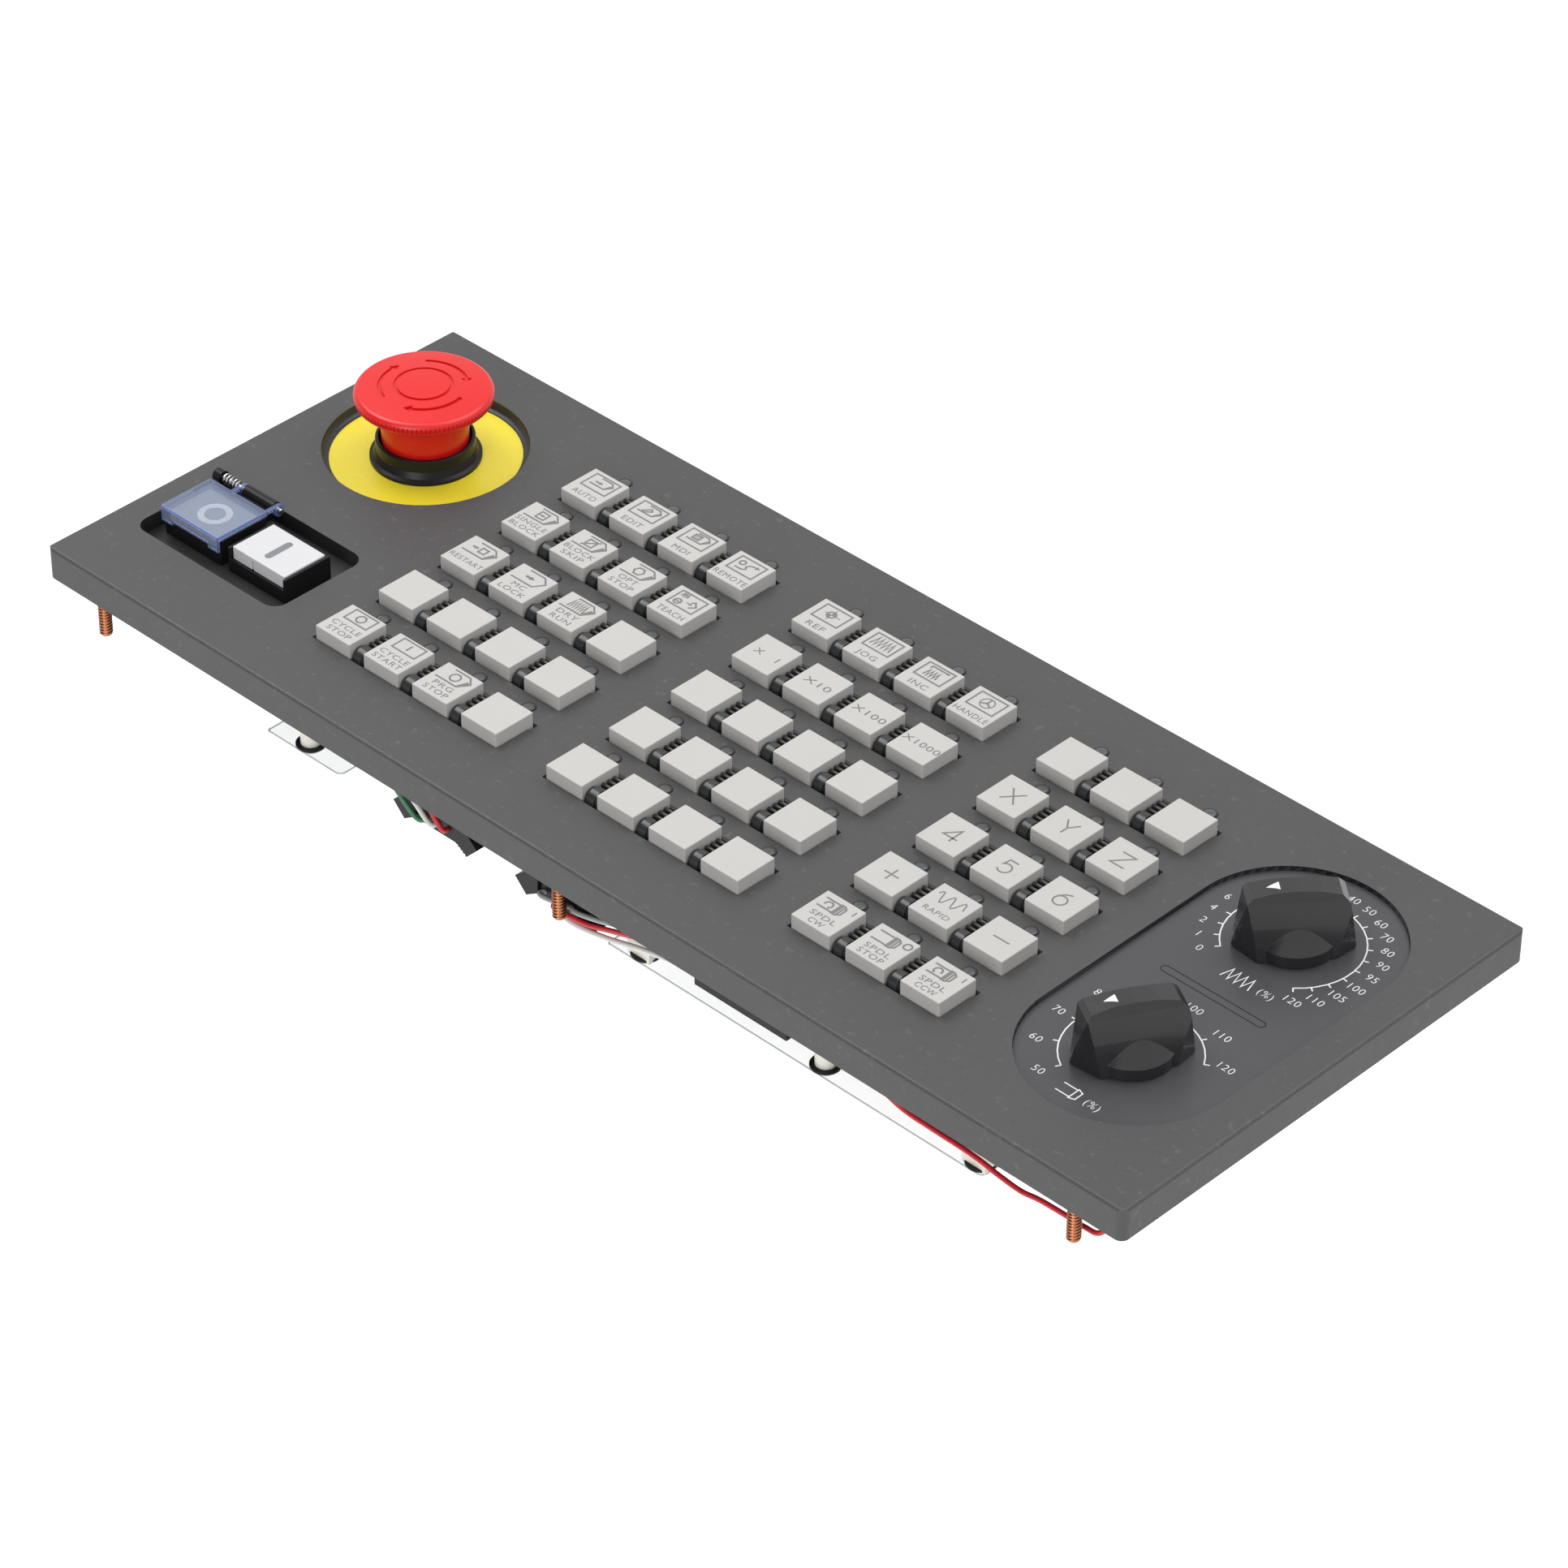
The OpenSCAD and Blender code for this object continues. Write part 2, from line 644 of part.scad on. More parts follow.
module stop_contact_block() {
    color("silver") {
        difference() {
            rotate_nut(14.5, stop_pad_bottom - 4, stop_pad_bottom - 0.02);
            post(stop_x, stop_y, barrel_r + 0.02, -far, far);
        }
        difference() {
            block([stop_x - 15, stop_y - 15, block_bottom], [stop_x + 15, stop_y + 15, block_top]);
            post(stop_x, stop_y, plunger_r + 0.4, block_top - plunger_tail - stop_travel - 0.5, far);
            for (sx = [-1, 1], sy = [-1, 1])
                post(stop_x + 9.5 * sx, stop_y + 9.5 * sy, 2.4, block_bottom - 1, block_bottom + 4);
        }
    }
}

// Hexagonal ring nut of the emergency stop.
module rotate_nut(r, z0, z1) {
    translate([stop_x, stop_y, z0]) cylinder(r = r, h = z1 - z0, $fn = 6);
}

module stop_plunger() {
    color("whitesmoke") post(stop_x, stop_y, plunger_r, block_top - plunger_tail, plunger_top);
}

// Curved arrow that shows the release direction, tip on +X.
module turn_arrow() {
    difference() {
        intersection() {
            circle(arrow_r + arrow_half);
            polygon([[0, 0], [far * cos(8), far * sin(8)], [far, far], [far * cos(84), far * sin(84)]]);
        }
        circle(arrow_r - arrow_half);
    }
    polygon([[(arrow_r + 1.6) * cos(11), (arrow_r + 1.6) * sin(11)],
        [(arrow_r - 1.6) * cos(11), (arrow_r - 1.6) * sin(11)], [arrow_r, 0]]);
}

// Half section of the mushroom head: neck, undercut, round heel and shoulder.
module head_section() {
    shoulder_x = head_r - shoulder_r;
    heel_z = head_bottom + heel_r;
    polygon([
        [0, neck_bottom], [neck_r, neck_bottom], [neck_top_r, head_bottom + 1.4],
        [head_r - 3.4, head_bottom + 1.4], [head_r - 2.2, head_bottom], [head_r - heel_r, head_bottom],
        [head_r - heel_r, heel_z], [head_r, heel_z], [head_r, shoulder_z], [shoulder_x, shoulder_z],
        [shoulder_x, head_top + 1], [0, head_top + 1]
    ]);
    translate([head_r - heel_r, heel_z]) circle(heel_r);
    translate([shoulder_x, shoulder_z]) circle(shoulder_r);
}

module stop_head() {
    dome_x = head_r - shoulder_r;
    dome_r = (dome_x * dome_x + dome_drop * dome_drop) / (2 * dome_drop);
    color("red")
    translate([stop_x, stop_y, 0]) difference() {
        intersection() {
            rotate_extrude() difference() {
                head_section();
                translate([ring_r - ring_half, head_top - 0.75]) square([2 * ring_half, 2]);
            }
            translate([0, 0, head_top - dome_r]) sphere(dome_r, $fn = 96);
        }
        post(0, 0, plunger_r + running, -far, plunger_top + 0.2);
        for (n = [0:grip_count - 1])
            rotate([0, 0, 360 * n / grip_count])
                translate([head_r + groove_side / 3, 0, head_bottom + 0.3])
                    rotate([0, 0, 45])
                        translate([-groove_side / 2, -groove_side / 2, 0])
                            cube([groove_side, groove_side, groove_h]);
        for (n = [0:2])
            rotate([0, 0, 120 * n + arrow_turn])
                translate([0, 0, head_top - arrow_depth]) linear_extrude(far) turn_arrow();
    }
}

// Housing of one power switch, cut down at the front so that the lens edge shows.
module power_housing(x) {
    difference() {
        union() {
            block([x - housing_w / 2, power_y - housing_h / 2, pocket_floor + 0.02],
                [x + housing_w / 2, power_y + housing_h / 2, housing_top]);
            block([x - housing_body_w / 2, power_y - housing_body_h / 2, housing_bottom],
                [x + housing_body_w / 2, power_y + housing_body_h / 2, pocket_floor + 0.1]);
        }
        block([x - lens_w / 2 - lens_gap, power_y - lens_h / 2 - lens_gap, pocket_floor + 1],
            [x + lens_w / 2 + lens_gap, power_y + lens_h / 2 + lens_gap, far]);
        block([x - lens_w / 2 - lens_gap, power_y - far, housing_top - notch_drop],
            [x + lens_w / 2 + lens_gap, power_y, far]);
        block([x - 5.3, power_y - 5.3, stem_bottom_z - power_travel - 0.4], [x + 5.3, power_y + 5.3, far]);
    }
}

// Hinge mounts behind the OFF housing: an end cap on an arm and a sleeve on a web.
module hinge_mounts() {
    back = power_y + housing_h / 2;
    difference() {
        union() {
            pin_barrel(hinge_cap_x, sleeve_r);
            pin_barrel(hinge_sleeve_x, sleeve_r);
            block([hinge_cap_x[0] + 0.4, back - 4, pin_z - 3], [hinge_cap_x[1], pin_y, pin_z - 0.4]);
            block([hinge_cap_x[1] - 1, back - 4, pin_z - 3],
                [off_x - housing_w / 2 + 0.2, back - 1, pin_z - 0.4]);
            block([hinge_sleeve_x[0], back - 0.2, pin_z - 3], [hinge_sleeve_x[1], pin_y, pin_z - 0.2]);
        }
        pin_barrel([pin_x0 + 1, far], pin_r + 0.02);
    }
}

// Cylinder on the hinge axis between two places along X.
module pin_barrel(x, r) {
    translate([x[0], pin_y, pin_z]) rotate([0, 90, 0]) cylinder(r = r, h = x[1] - x[0]);
}

module power_housings() {
    color("#18181a") {
        power_housing(on_x);
        union() {
            power_housing(off_x);
            hinge_mounts();
        }
    }
}

// Lens cap on a square stem.
module power_button(x, top) {
    difference() {
        block([x - lens_w / 2, power_y - lens_h / 2, pocket_floor + 4.2],
            [x + lens_w / 2, power_y + lens_h / 2, top]);
        block([x - 2.8, power_y - lens_h / 2 - 1, top - notch_drop - 1],
            [x - 2.3, power_y - lens_h / 2 + 0.6, top - 1.2]);
    }
    block([x - 5, power_y - 5, stem_bottom_z], [x + 5, power_y + 5, pocket_floor + 4.3]);
}

module on_button() {
    color("white") power_button(on_x, housing_top + 0.4);
}

module off_button() {
    color("lightsteelblue") power_button(off_x, housing_top - 0.2);
}

// Clear guard: a lipped lid with a stepped front skirt and two ears round the pin.
module off_guard() {
    x0 = off_x - guard_w / 2;
    x1 = off_x + guard_w / 2;
    y0 = power_y - housing_h / 2 - guard_front_gap - guard_front_t;
    y1 = y0 + guard_h;
    low = housing_top + guard_lift;
    color("lightblue", 0.6)
    difference() {
        union() {
            difference() {
                block([x0, y0, low], [x1, y1, guard_top]);
                block([x0 + guard_t, y0 + guard_t, low - 1],
                    [x1 - guard_t, y1 - guard_t, guard_top - guard_t]);
            }
            difference() {
                block([x0, y0, guard_skirt], [x1, y0 + guard_front_t, low + 0.5]);
                block([x0 + 4.6, y0 - 1, guard_skirt - 1], [x1 - 4.6, y0 + 2, guard_skirt + 1.2]);
            }
            for (x = ear_x) ear(x, y1);
        }
        pin_barrel([-4 * far, far], pin_r + running);
    }
}

// Ear of the guard, from its back lip to a ring round the pin.
module ear(x, y) {
    pin_barrel([x, x + ear_w], ear_r);
    block([x, y - 0.6, housing_top + guard_lift], [x + ear_w, pin_y, pin_z + ear_r]);
}

module guard_hinge_pin() {
    color("silver") pin_barrel([pin_x0 + 1.1, pin_x1], pin_r);
}

// Torsion spring: close coils round the pin with two straight legs.
module guard_spring() {
    n = 14 * spring_turns;
    coil = [for (i = [0:n]) let (a = 360 * i / 14)
        [spring_x0 + (spring_x1 - spring_x0) * i / n, pin_y + spring_r * cos(a), pin_z + spring_r * sin(a)]];
    color("silver") tube(coil, spring_wire_r, 1, 8);
}

// Rotary switch with its bushing and nut.
module rotary_switch(y) {
    difference() {
        union() {
            block([dial_x - switch_body / 2, y - switch_body / 2, rotary_bottom],
                [dial_x + switch_body / 2, y + switch_body / 2, rotary_top]);
            post(dial_x, y, bushing_r, rotary_top - 1, dial_plate_top + 0.1);
        }
        post(dial_x, y, shaft_r + running, rotary_bottom + 6, far);
    }
}

module rotary_switches() {
    color("slategray") {
        rotary_switch(feed_y);
        rotary_switch(spindle_y);
    }
}

// Pointer knob, pointer along +X: skirt disc, cone and bevelled bar.
module knob() {
    z0 = knob_bottom - face_z;
    translate([0, 0, face_z]) intersection() {
        union() {
            translate([0, 0, z0]) rotate_extrude()
                polygon([[0, 0], [11.5, 0], [11.5, 2.3 - z0], [5.2, 8.4 - z0], [0, 8.4 - z0]]);
            bar(z0);
        }
        post(0, 0, far, z0, far);
    }
}

// Grip bar: plan outline cut by sloped sides, sloped ends and a crowned top.
module bar(z0) {
    h = knob_rise;
    intersection() {
        rotate([90, 0, 0]) linear_extrude(far, center = true)
            polygon([[-15.5, z0], [16.3, z0], [15.4, 5], [13.4, h - 2.9], [12, h - 1.3], [6, h - 0.2],
                [0, h], [-6, h - 0.4], [-11.2, h - 1.4], [-13.2, h - 3.7], [-14.8, 4]]);
        rotate([90, 0, 90]) linear_extrude(far, center = true)
            polygon([[-8.1, z0], [8.1, z0], [7.4, 2.5], [6.05, 7.9], [4.2, h - 2.8], [3, h + 0.1],
                [-3, h + 0.1], [-4.2, h - 2.8], [-6.05, 7.9], [-7.4, 2.5]]);
        translate([0, 0, -far / 2]) linear_extrude(far)
            polygon([[16.3, 0], [10.6, 8.2], [-9.5, 8.2], [-15.5, 3.9], [-15.5, -3.9],
                [-9.5, -8.2], [10.6, -8.2]]);
    }
}

// Knob on its shaft at one dial.
module knob_on_shaft(y, angle) {
    translate([dial_x, y, 0]) {
        difference() {
            rotate([0, 0, angle]) knob();
            post(0, 0, shaft_r + 0.02, -far, face_z + 9.2);
        }
        post(0, 0, shaft_r, rotary_bottom + 6.4, face_z + 9);
    }
}

module feed_knob() {
    color("#3a3b3d") knob_on_shaft(feed_y, feed_angle);
}

module spindle_knob() {
    color("#3a3b3d") knob_on_shaft(spindle_y, spindle_angle);
}

front_panel();
dial_plate();
key_guides();
lamp_windows();
key_board();
key_switches();
nylon_spacers();
mounting_studs();
rear_covers();
ribbon_headers();
signal_wires();
stop_ground_plate();
stop_collar();
stop_contact_block();
stop_plunger();
stop_head();
power_housings();
on_button();
off_button();
off_guard();
guard_hinge_pin();
guard_spring();
rotary_switches();
feed_knob();
spindle_knob();
spare_keys();
for (k = LEGENDED) legended_key(k);
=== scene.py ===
"""Looks of a machine operator's panel: finishes, key legends, dial print, threads and wires."""

import json
import logging
import math
from dataclasses import dataclass, field
from enum import Enum, auto
from typing import Any, Sequence

import bmesh
import bpy
from mathutils import Matrix, Vector

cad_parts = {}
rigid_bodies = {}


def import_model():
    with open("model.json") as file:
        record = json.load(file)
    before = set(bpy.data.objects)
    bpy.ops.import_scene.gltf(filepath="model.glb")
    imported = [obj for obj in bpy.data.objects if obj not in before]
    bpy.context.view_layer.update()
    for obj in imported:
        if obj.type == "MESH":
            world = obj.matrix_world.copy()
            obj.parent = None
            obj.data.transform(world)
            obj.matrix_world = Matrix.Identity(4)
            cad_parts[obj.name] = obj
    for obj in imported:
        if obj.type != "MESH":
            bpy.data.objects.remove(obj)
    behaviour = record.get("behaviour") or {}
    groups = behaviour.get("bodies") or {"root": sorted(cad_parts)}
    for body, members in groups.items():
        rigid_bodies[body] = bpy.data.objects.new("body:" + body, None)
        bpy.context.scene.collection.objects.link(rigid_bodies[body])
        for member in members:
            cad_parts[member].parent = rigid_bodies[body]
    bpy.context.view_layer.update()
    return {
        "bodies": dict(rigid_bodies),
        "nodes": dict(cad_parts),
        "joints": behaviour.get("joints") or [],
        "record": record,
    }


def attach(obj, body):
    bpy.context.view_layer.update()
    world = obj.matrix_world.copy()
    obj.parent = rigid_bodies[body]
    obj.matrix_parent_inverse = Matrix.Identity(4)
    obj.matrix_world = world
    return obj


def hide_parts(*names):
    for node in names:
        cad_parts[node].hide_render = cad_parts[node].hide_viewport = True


LOG = logging.getLogger("operator_panel")
MM = 0.001
CAP_HEIGHT = 0.73  # a capital's height as a share of the font's size
WORD_STEPS = 3  # straight steps in each curve of a letter
WORD_SPACING = 1.1
WORD_THICK = 0.01
INK_SINK = 0.01  # how far print reaches into the surface under it
INK_STEP, INK_LEVELS = 0.0008, 24  # heights that keep crossing marks out of one plane
Point = Sequence[float]
Colour = tuple[float, float, float]
Words = tuple[tuple[str, float, float, float], ...]


class Kind(Enum):
    """How a finish lets light through."""

    SOLID = "solid"
    THIN = "thin"
    METAL = "metal"


class NodeKit:
    """Shader node groups shared by every finish, each built once."""

    def __init__(self) -> None:
        """Starts with no group built."""
        self._made: dict[str, bpy.types.NodeTree] = {}

    def mottle(self) -> bpy.types.NodeTree:
        """Slow and fine colour change. Inputs Colour, Size, Amount; outputs Colour, Value."""
        if "mottle" in self._made:
            return self._made["mottle"]
        tree = self._group("mottle", ["Colour", "Size", "Amount"], ["Colour", "Value"])
        src, out = tree.nodes["Group Input"], tree.nodes["Group Output"]
        scaled = self._scaled(tree, src.outputs["Size"])
        cloud = self._noise(tree, scaled, 1.0, 3.0)
        fine = self._noise(tree, scaled, 11.0, 2.0)
        both = self._math(tree, "ADD", cloud.outputs["Fac"], fine.outputs["Fac"])
        half = self._math(tree, "MULTIPLY", both.outputs[0], 0.5)
        swing = self._math(tree, "SUBTRACT", half.outputs[0], 0.5)
        gain = self._math(tree, "MULTIPLY_ADD", swing.outputs[0], src.outputs["Amount"])
        gain.inputs[2].default_value = 1.0
        tint = tree.nodes.new("ShaderNodeVectorMath")
        tint.operation = "SCALE"
        tree.links.new(src.outputs["Colour"], tint.inputs[0])
        tree.links.new(gain.outputs[0], tint.inputs["Scale"])
        tree.links.new(tint.outputs[0], out.inputs["Colour"])
        tree.links.new(half.outputs[0], out.inputs["Value"])
        return tree

    def grain(self) -> bpy.types.NodeTree:
        """Moulded grain. Inputs Size, Specks; outputs Height, Mask for the raised light specks."""
        if "grain" in self._made:
            return self._made["grain"]
        tree = self._group("grain", ["Size", "Specks"], ["Height", "Mask"])
        src, out = tree.nodes["Group Input"], tree.nodes["Group Output"]
        scaled = self._scaled(tree, src.outputs["Size"])
        cells = tree.nodes.new("ShaderNodeTexVoronoi")
        cells.feature = "SMOOTH_F1"
        cells.inputs["Scale"].default_value = 1.0
        tree.links.new(scaled, cells.inputs["Vector"])
        rough = self._noise(tree, scaled, 0.6, 4.0)
        mixed = self._math(tree, "MULTIPLY", cells.outputs["Distance"], rough.outputs["Fac"])
        tree.links.new(mixed.outputs[0], out.inputs["Height"])
        wide = self._noise(tree, scaled, 0.23, 5.0)
        peak = tree.nodes.new("ShaderNodeMapRange")
        peak.inputs["From Min"].default_value = 0.62
        peak.inputs["From Max"].default_value = 0.74
        tree.links.new(wide.outputs["Fac"], peak.inputs["Value"])
        mask = self._math(tree, "MULTIPLY", peak.outputs[0], src.outputs["Specks"])
        tree.links.new(mask.outputs[0], out.inputs["Mask"])
        return tree

    def _group(self, name: str, ins: list[str], outs: list[str]) -> bpy.types.NodeTree:
        """Makes an empty group with its sockets.

        Args:
            name: The group's name.
            ins: Input socket names.
            outs: Output socket names.

        Returns:
            The new node tree, with its input and output nodes in place.
        """
        tree = bpy.data.node_groups.new(name, "ShaderNodeTree")
        kinds = {"Colour": "NodeSocketColor"}
        for way, names in (("INPUT", ins), ("OUTPUT", outs)):
            for n in names:
                tree.interface.new_socket(n, in_out=way, socket_type=kinds.get(n, "NodeSocketFloat"))
        tree.nodes.new("NodeGroupInput").name = "Group Input"
        tree.nodes.new("NodeGroupOutput").name = "Group Output"
        self._made[name] = tree
        return tree

    def _scaled(self, tree: bpy.types.NodeTree, size: bpy.types.NodeSocket) -> bpy.types.NodeSocket:
        """Object coordinates divided by a size in metres."""
        coords = tree.nodes.new("ShaderNodeTexCoord")
        per = self._math(tree, "DIVIDE", 1.0, size)
        scale = tree.nodes.new("ShaderNodeVectorMath")
        scale.operation = "SCALE"
        tree.links.new(coords.outputs["Object"], scale.inputs[0])
        tree.links.new(per.outputs[0], scale.inputs["Scale"])
        return scale.outputs[0]

    def _noise(self, tree: bpy.types.NodeTree, vector: Any, scale: float, detail: float) -> bpy.types.Node:
        """Noise texture fed with a vector."""
        node = tree.nodes.new("ShaderNodeTexNoise")
        node.inputs["Scale"].default_value = scale
        node.inputs["Detail"].default_value = detail
        tree.links.new(vector, node.inputs["Vector"])
        return node

    def _math(self, tree: bpy.types.NodeTree, kind: str, a: Any, b: Any) -> bpy.types.Node:
        """Math node; each operand is a socket or a number."""
        node = tree.nodes.new("ShaderNodeMath")
        node.operation = kind
        for value, socket in zip((a, b), node.inputs):
            if isinstance(value, bpy.types.NodeSocket):
                tree.links.new(value, socket)
            else:
                socket.default_value = value
        return node


@dataclass(frozen=True)
class Finish:
    """One finish: its colour, gloss and grain. Sizes are in millimetres."""

    name: str
    colour: Colour
    roughness: float
    kind: Kind = Kind.SOLID
    mottle: float = 0.08
    mottle_size: float = 12.0
    rough_swing: float = 0.12
    grain_size: float = 0.5
    grain_depth: float = 0.01
    specks: float = 0.0
    speck_colour: Colour = (0.5, 0.5, 0.5)
    rim_colour: Colour = (0.5, 0.5, 0.5)
    glow: float = 0.0
    coat: float = 0.0
    specular: float = 0.5
    subsurface: float = 0.0
    veil: float = 0.2
    veil_rim: float = 0.7

    def build(self, kit: NodeKit) -> bpy.types.Material:
        """Makes the material from the shared groups.

        Args:
            kit: The shared node groups.

        Returns:
            The new material.
        """
        mat = bpy.data.materials.new("finish_" + self.name)
        mat.use_nodes = True
        tree = mat.node_tree
        shader = tree.nodes["Principled BSDF"]
        mottle = self._place(tree, kit.mottle())
        mottle.inputs["Colour"].default_value = (*self.colour, 1.0)
        mottle.inputs["Size"].default_value = self.mottle_size * MM
        mottle.inputs["Amount"].default_value = self.mottle
        grain = self._place(tree, kit.grain())
        grain.inputs["Size"].default_value = self.grain_size * MM
        grain.inputs["Specks"].default_value = self.specks
        colour = mottle.outputs["Colour"]
        if self.specks:
            colour = self._mix(tree, grain.outputs["Mask"], colour, self.speck_colour)
        bump = tree.nodes.new("ShaderNodeBump")
        bump.inputs["Distance"].default_value = self.grain_depth * MM
        tree.links.new(grain.outputs["Height"], bump.inputs["Height"])
        if self.kind is Kind.THIN:
            graze = tree.nodes.new("ShaderNodeLayerWeight")
            graze.inputs["Blend"].default_value = 0.35
            colour = self._mix(tree, graze.outputs["Facing"], colour, self.rim_colour)
            veil = tree.nodes.new("ShaderNodeMapRange")
            veil.inputs["To Min"].default_value = self.veil
            veil.inputs["To Max"].default_value = self.veil_rim
            tree.links.new(graze.outputs["Facing"], veil.inputs["Value"])
            tree.links.new(veil.outputs[0], shader.inputs["Alpha"])
        tree.links.new(colour, shader.inputs["Base Color"])
        tree.links.new(bump.outputs[0], shader.inputs["Normal"])
        rough = tree.nodes.new("ShaderNodeMapRange")
        rough.inputs["To Min"].default_value = max(0.02, self.roughness - self.rough_swing)
        rough.inputs["To Max"].default_value = min(1.0, self.roughness + self.rough_swing)
        tree.links.new(mottle.outputs["Value"], rough.inputs["Value"])
        tree.links.new(rough.outputs[0], shader.inputs["Roughness"])
        shader.inputs["Specular IOR Level"].default_value = self.specular
        shader.inputs["Coat Weight"].default_value = self.coat
        shader.inputs["Coat Roughness"].default_value = 0.06
        shader.inputs["Subsurface Weight"].default_value = self.subsurface
        shader.inputs["Subsurface Radius"].default_value = (0.002, 0.002, 0.002)
        shader.inputs["Subsurface Scale"].default_value = 0.4
        if self.glow:
            shader.inputs["Emission Color"].default_value = (1.0, 1.0, 1.0, 1.0)
            shader.inputs["Emission Strength"].default_value = self.glow
        if self.kind is Kind.METAL:
            shader.inputs["Metallic"].default_value = 1.0
        return mat

    def _place(self, tree: bpy.types.NodeTree, group: bpy.types.NodeTree) -> bpy.types.Node:
        """Places a shared group in the material."""
        node = tree.nodes.new("ShaderNodeGroup")
        node.node_tree = group
        return node

    def _mix(self, tree: bpy.types.NodeTree, mask: Any, under: Any, over: Colour) -> Any:
        """Lays a plain colour over another by a mask and returns the colour socket."""
        node = tree.nodes.new("ShaderNodeMix")
        node.data_type = "RGBA"
        tree.links.new(mask, node.inputs["Factor"])
        tree.links.new(under, node.inputs[6])
        node.inputs[7].default_value = (*over, 1.0)
        return node.outputs[2]


PANEL = Finish("panel_plastic", (0.057, 0.057, 0.059), 0.48, mottle=0.14, mottle_size=30.0, grain_size=0.6,
               grain_depth=0.09, specks=0.3, speck_colour=(0.16, 0.16, 0.16))
# Painted shade: a darker copy of the panel plastic for the recess walls and floors, standing in for the shade that
# falls there.
RECESS_SHADE = Finish("panel_recess_shade", (0.022, 0.022, 0.023), 0.4, mottle=0.1, mottle_size=20.0, grain_size=0.5)
FILM = Finish("plate_film", (0.06, 0.0595, 0.065), 0.34, mottle=0.06, mottle_size=25.0, grain_size=0.25,
              grain_depth=0.006)
BLACK = Finish("black_plastic", (0.01, 0.01, 0.011), 0.34, mottle=0.3, grain_size=0.4, grain_depth=0.012,
               specular=0.22)
GUIDE = Finish("guide_plastic", (0.028, 0.029, 0.03), 0.26, mottle=0.3, mottle_size=3.0, grain_size=0.3,
               grain_depth=0.01)
LAMP = Finish("lamp_ring", (0.02, 0.021, 0.022), 0.4, mottle=0.15, mottle_size=2.0)
EYE = Finish("lamp_lens", (0.075, 0.078, 0.082), 0.25, mottle=0.1, mottle_size=1.0, coat=0.2)
BOARD = Finish("board_laminate", (0.012, 0.09, 0.035), 0.4, mottle=0.3, mottle_size=4.0, grain_size=0.4)
NYLON = Finish("nylon", (0.74, 0.72, 0.64), 0.36, mottle=0.08, subsurface=0.2, grain_size=0.4)
COPPER = Finish("copper_plate", (0.52, 0.2, 0.1), 0.3, Kind.METAL, mottle=0.3, mottle_size=2.0,
                grain_size=0.15, grain_depth=0.006)
CLEAR = Finish("clear_plastic", (0.8, 0.81, 0.82), 0.08, Kind.THIN, mottle=0.01, rough_swing=0.02,
               grain_size=2.0, grain_depth=0.001, rim_colour=(0.6, 0.61, 0.62), veil=0.1, veil_rim=0.45)
CLEAR_EDGE = Finish("clear_edge", (0.34, 0.35, 0.36), 0.2, Kind.THIN, mottle=0.02, grain_size=2.0,
                    rim_colour=(0.2, 0.2, 0.21), veil=0.75, veil_rim=0.95)
GUARD = Finish("guard_plastic", (0.62, 0.68, 0.78), 0.06, Kind.THIN, mottle=0.03, rough_swing=0.02,
               grain_size=1.5, grain_depth=0.001, rim_colour=(0.12, 0.22, 0.55), veil=0.05, veil_rim=0.5)
GUARD_EDGE = Finish("guard_edge", (0.08, 0.14, 0.42), 0.12, Kind.THIN, mottle=0.05, mottle_size=3.0,
                    rim_colour=(0.03, 0.06, 0.25), veil=0.7, veil_rim=0.95)
YELLOW = Finish("yellow_plate", (0.86, 0.73, 0.035), 0.3, mottle=0.03, mottle_size=20.0, grain_size=0.4,
                grain_depth=0.002, coat=0.15)
SWITCH = Finish("switch_plastic", (0.16, 0.165, 0.17), 0.42, mottle=0.12, grain_size=0.5)
STEEL = Finish("steel", (0.6, 0.6, 0.61), 0.26, Kind.METAL, mottle=0.12, mottle_size=1.5, grain_size=0.2,
               grain_depth=0.004)
RED = Finish("red_plastic", (0.66, 0.008, 0.008), 0.32, mottle=0.03, mottle_size=14.0, rough_swing=0.05,
             grain_size=0.8, grain_depth=0.001)
WHITE_LENS = Finish("white_lens", (0.6, 0.6, 0.62), 0.3, mottle=0.03, grain_size=0.6, grain_depth=0.004,
                    subsurface=0.2)
GREY_LENS = Finish("grey_lens", (0.2, 0.21, 0.23), 0.3, mottle=0.05, grain_size=0.6, grain_depth=0.004)
KNOB = Finish("knob_plastic", (0.018, 0.018, 0.02), 0.26, mottle=0.1, mottle_size=9.0, grain_size=0.3,
              grain_depth=0.004, coat=0.25)
KEY = Finish("key_plastic", (0.49, 0.48, 0.465), 0.4, mottle=0.03, mottle_size=10.0, grain_size=0.35,
             grain_depth=0.006, subsurface=0.1)
INK = Finish("legend_ink", (0.17, 0.17, 0.175), 0.55, mottle=0.1, mottle_size=1.2, grain_size=0.2)
WHITE_INK = Finish("dial_ink", (0.74, 0.74, 0.74), 0.5, mottle=0.12, mottle_size=1.5, grain_size=0.2)
BAR_INK = Finish("bar_ink", (0.19, 0.2, 0.21), 0.45, mottle=0.1, mottle_size=2.0, grain_size=0.2)
WIRE_COLOURS: dict[str, Colour] = {
    "white": (0.62, 0.62, 0.6), "red": (0.55, 0.015, 0.03), "green": (0.03, 0.16, 0.07),
    "grey": (0.3, 0.31, 0.32)}
WIRES = {name: Finish("wire_" + name, rgb, 0.38, mottle=0.1, mottle_size=4.0, grain_size=0.3,
                      grain_depth=0.01) for name, rgb in WIRE_COLOURS.items()}


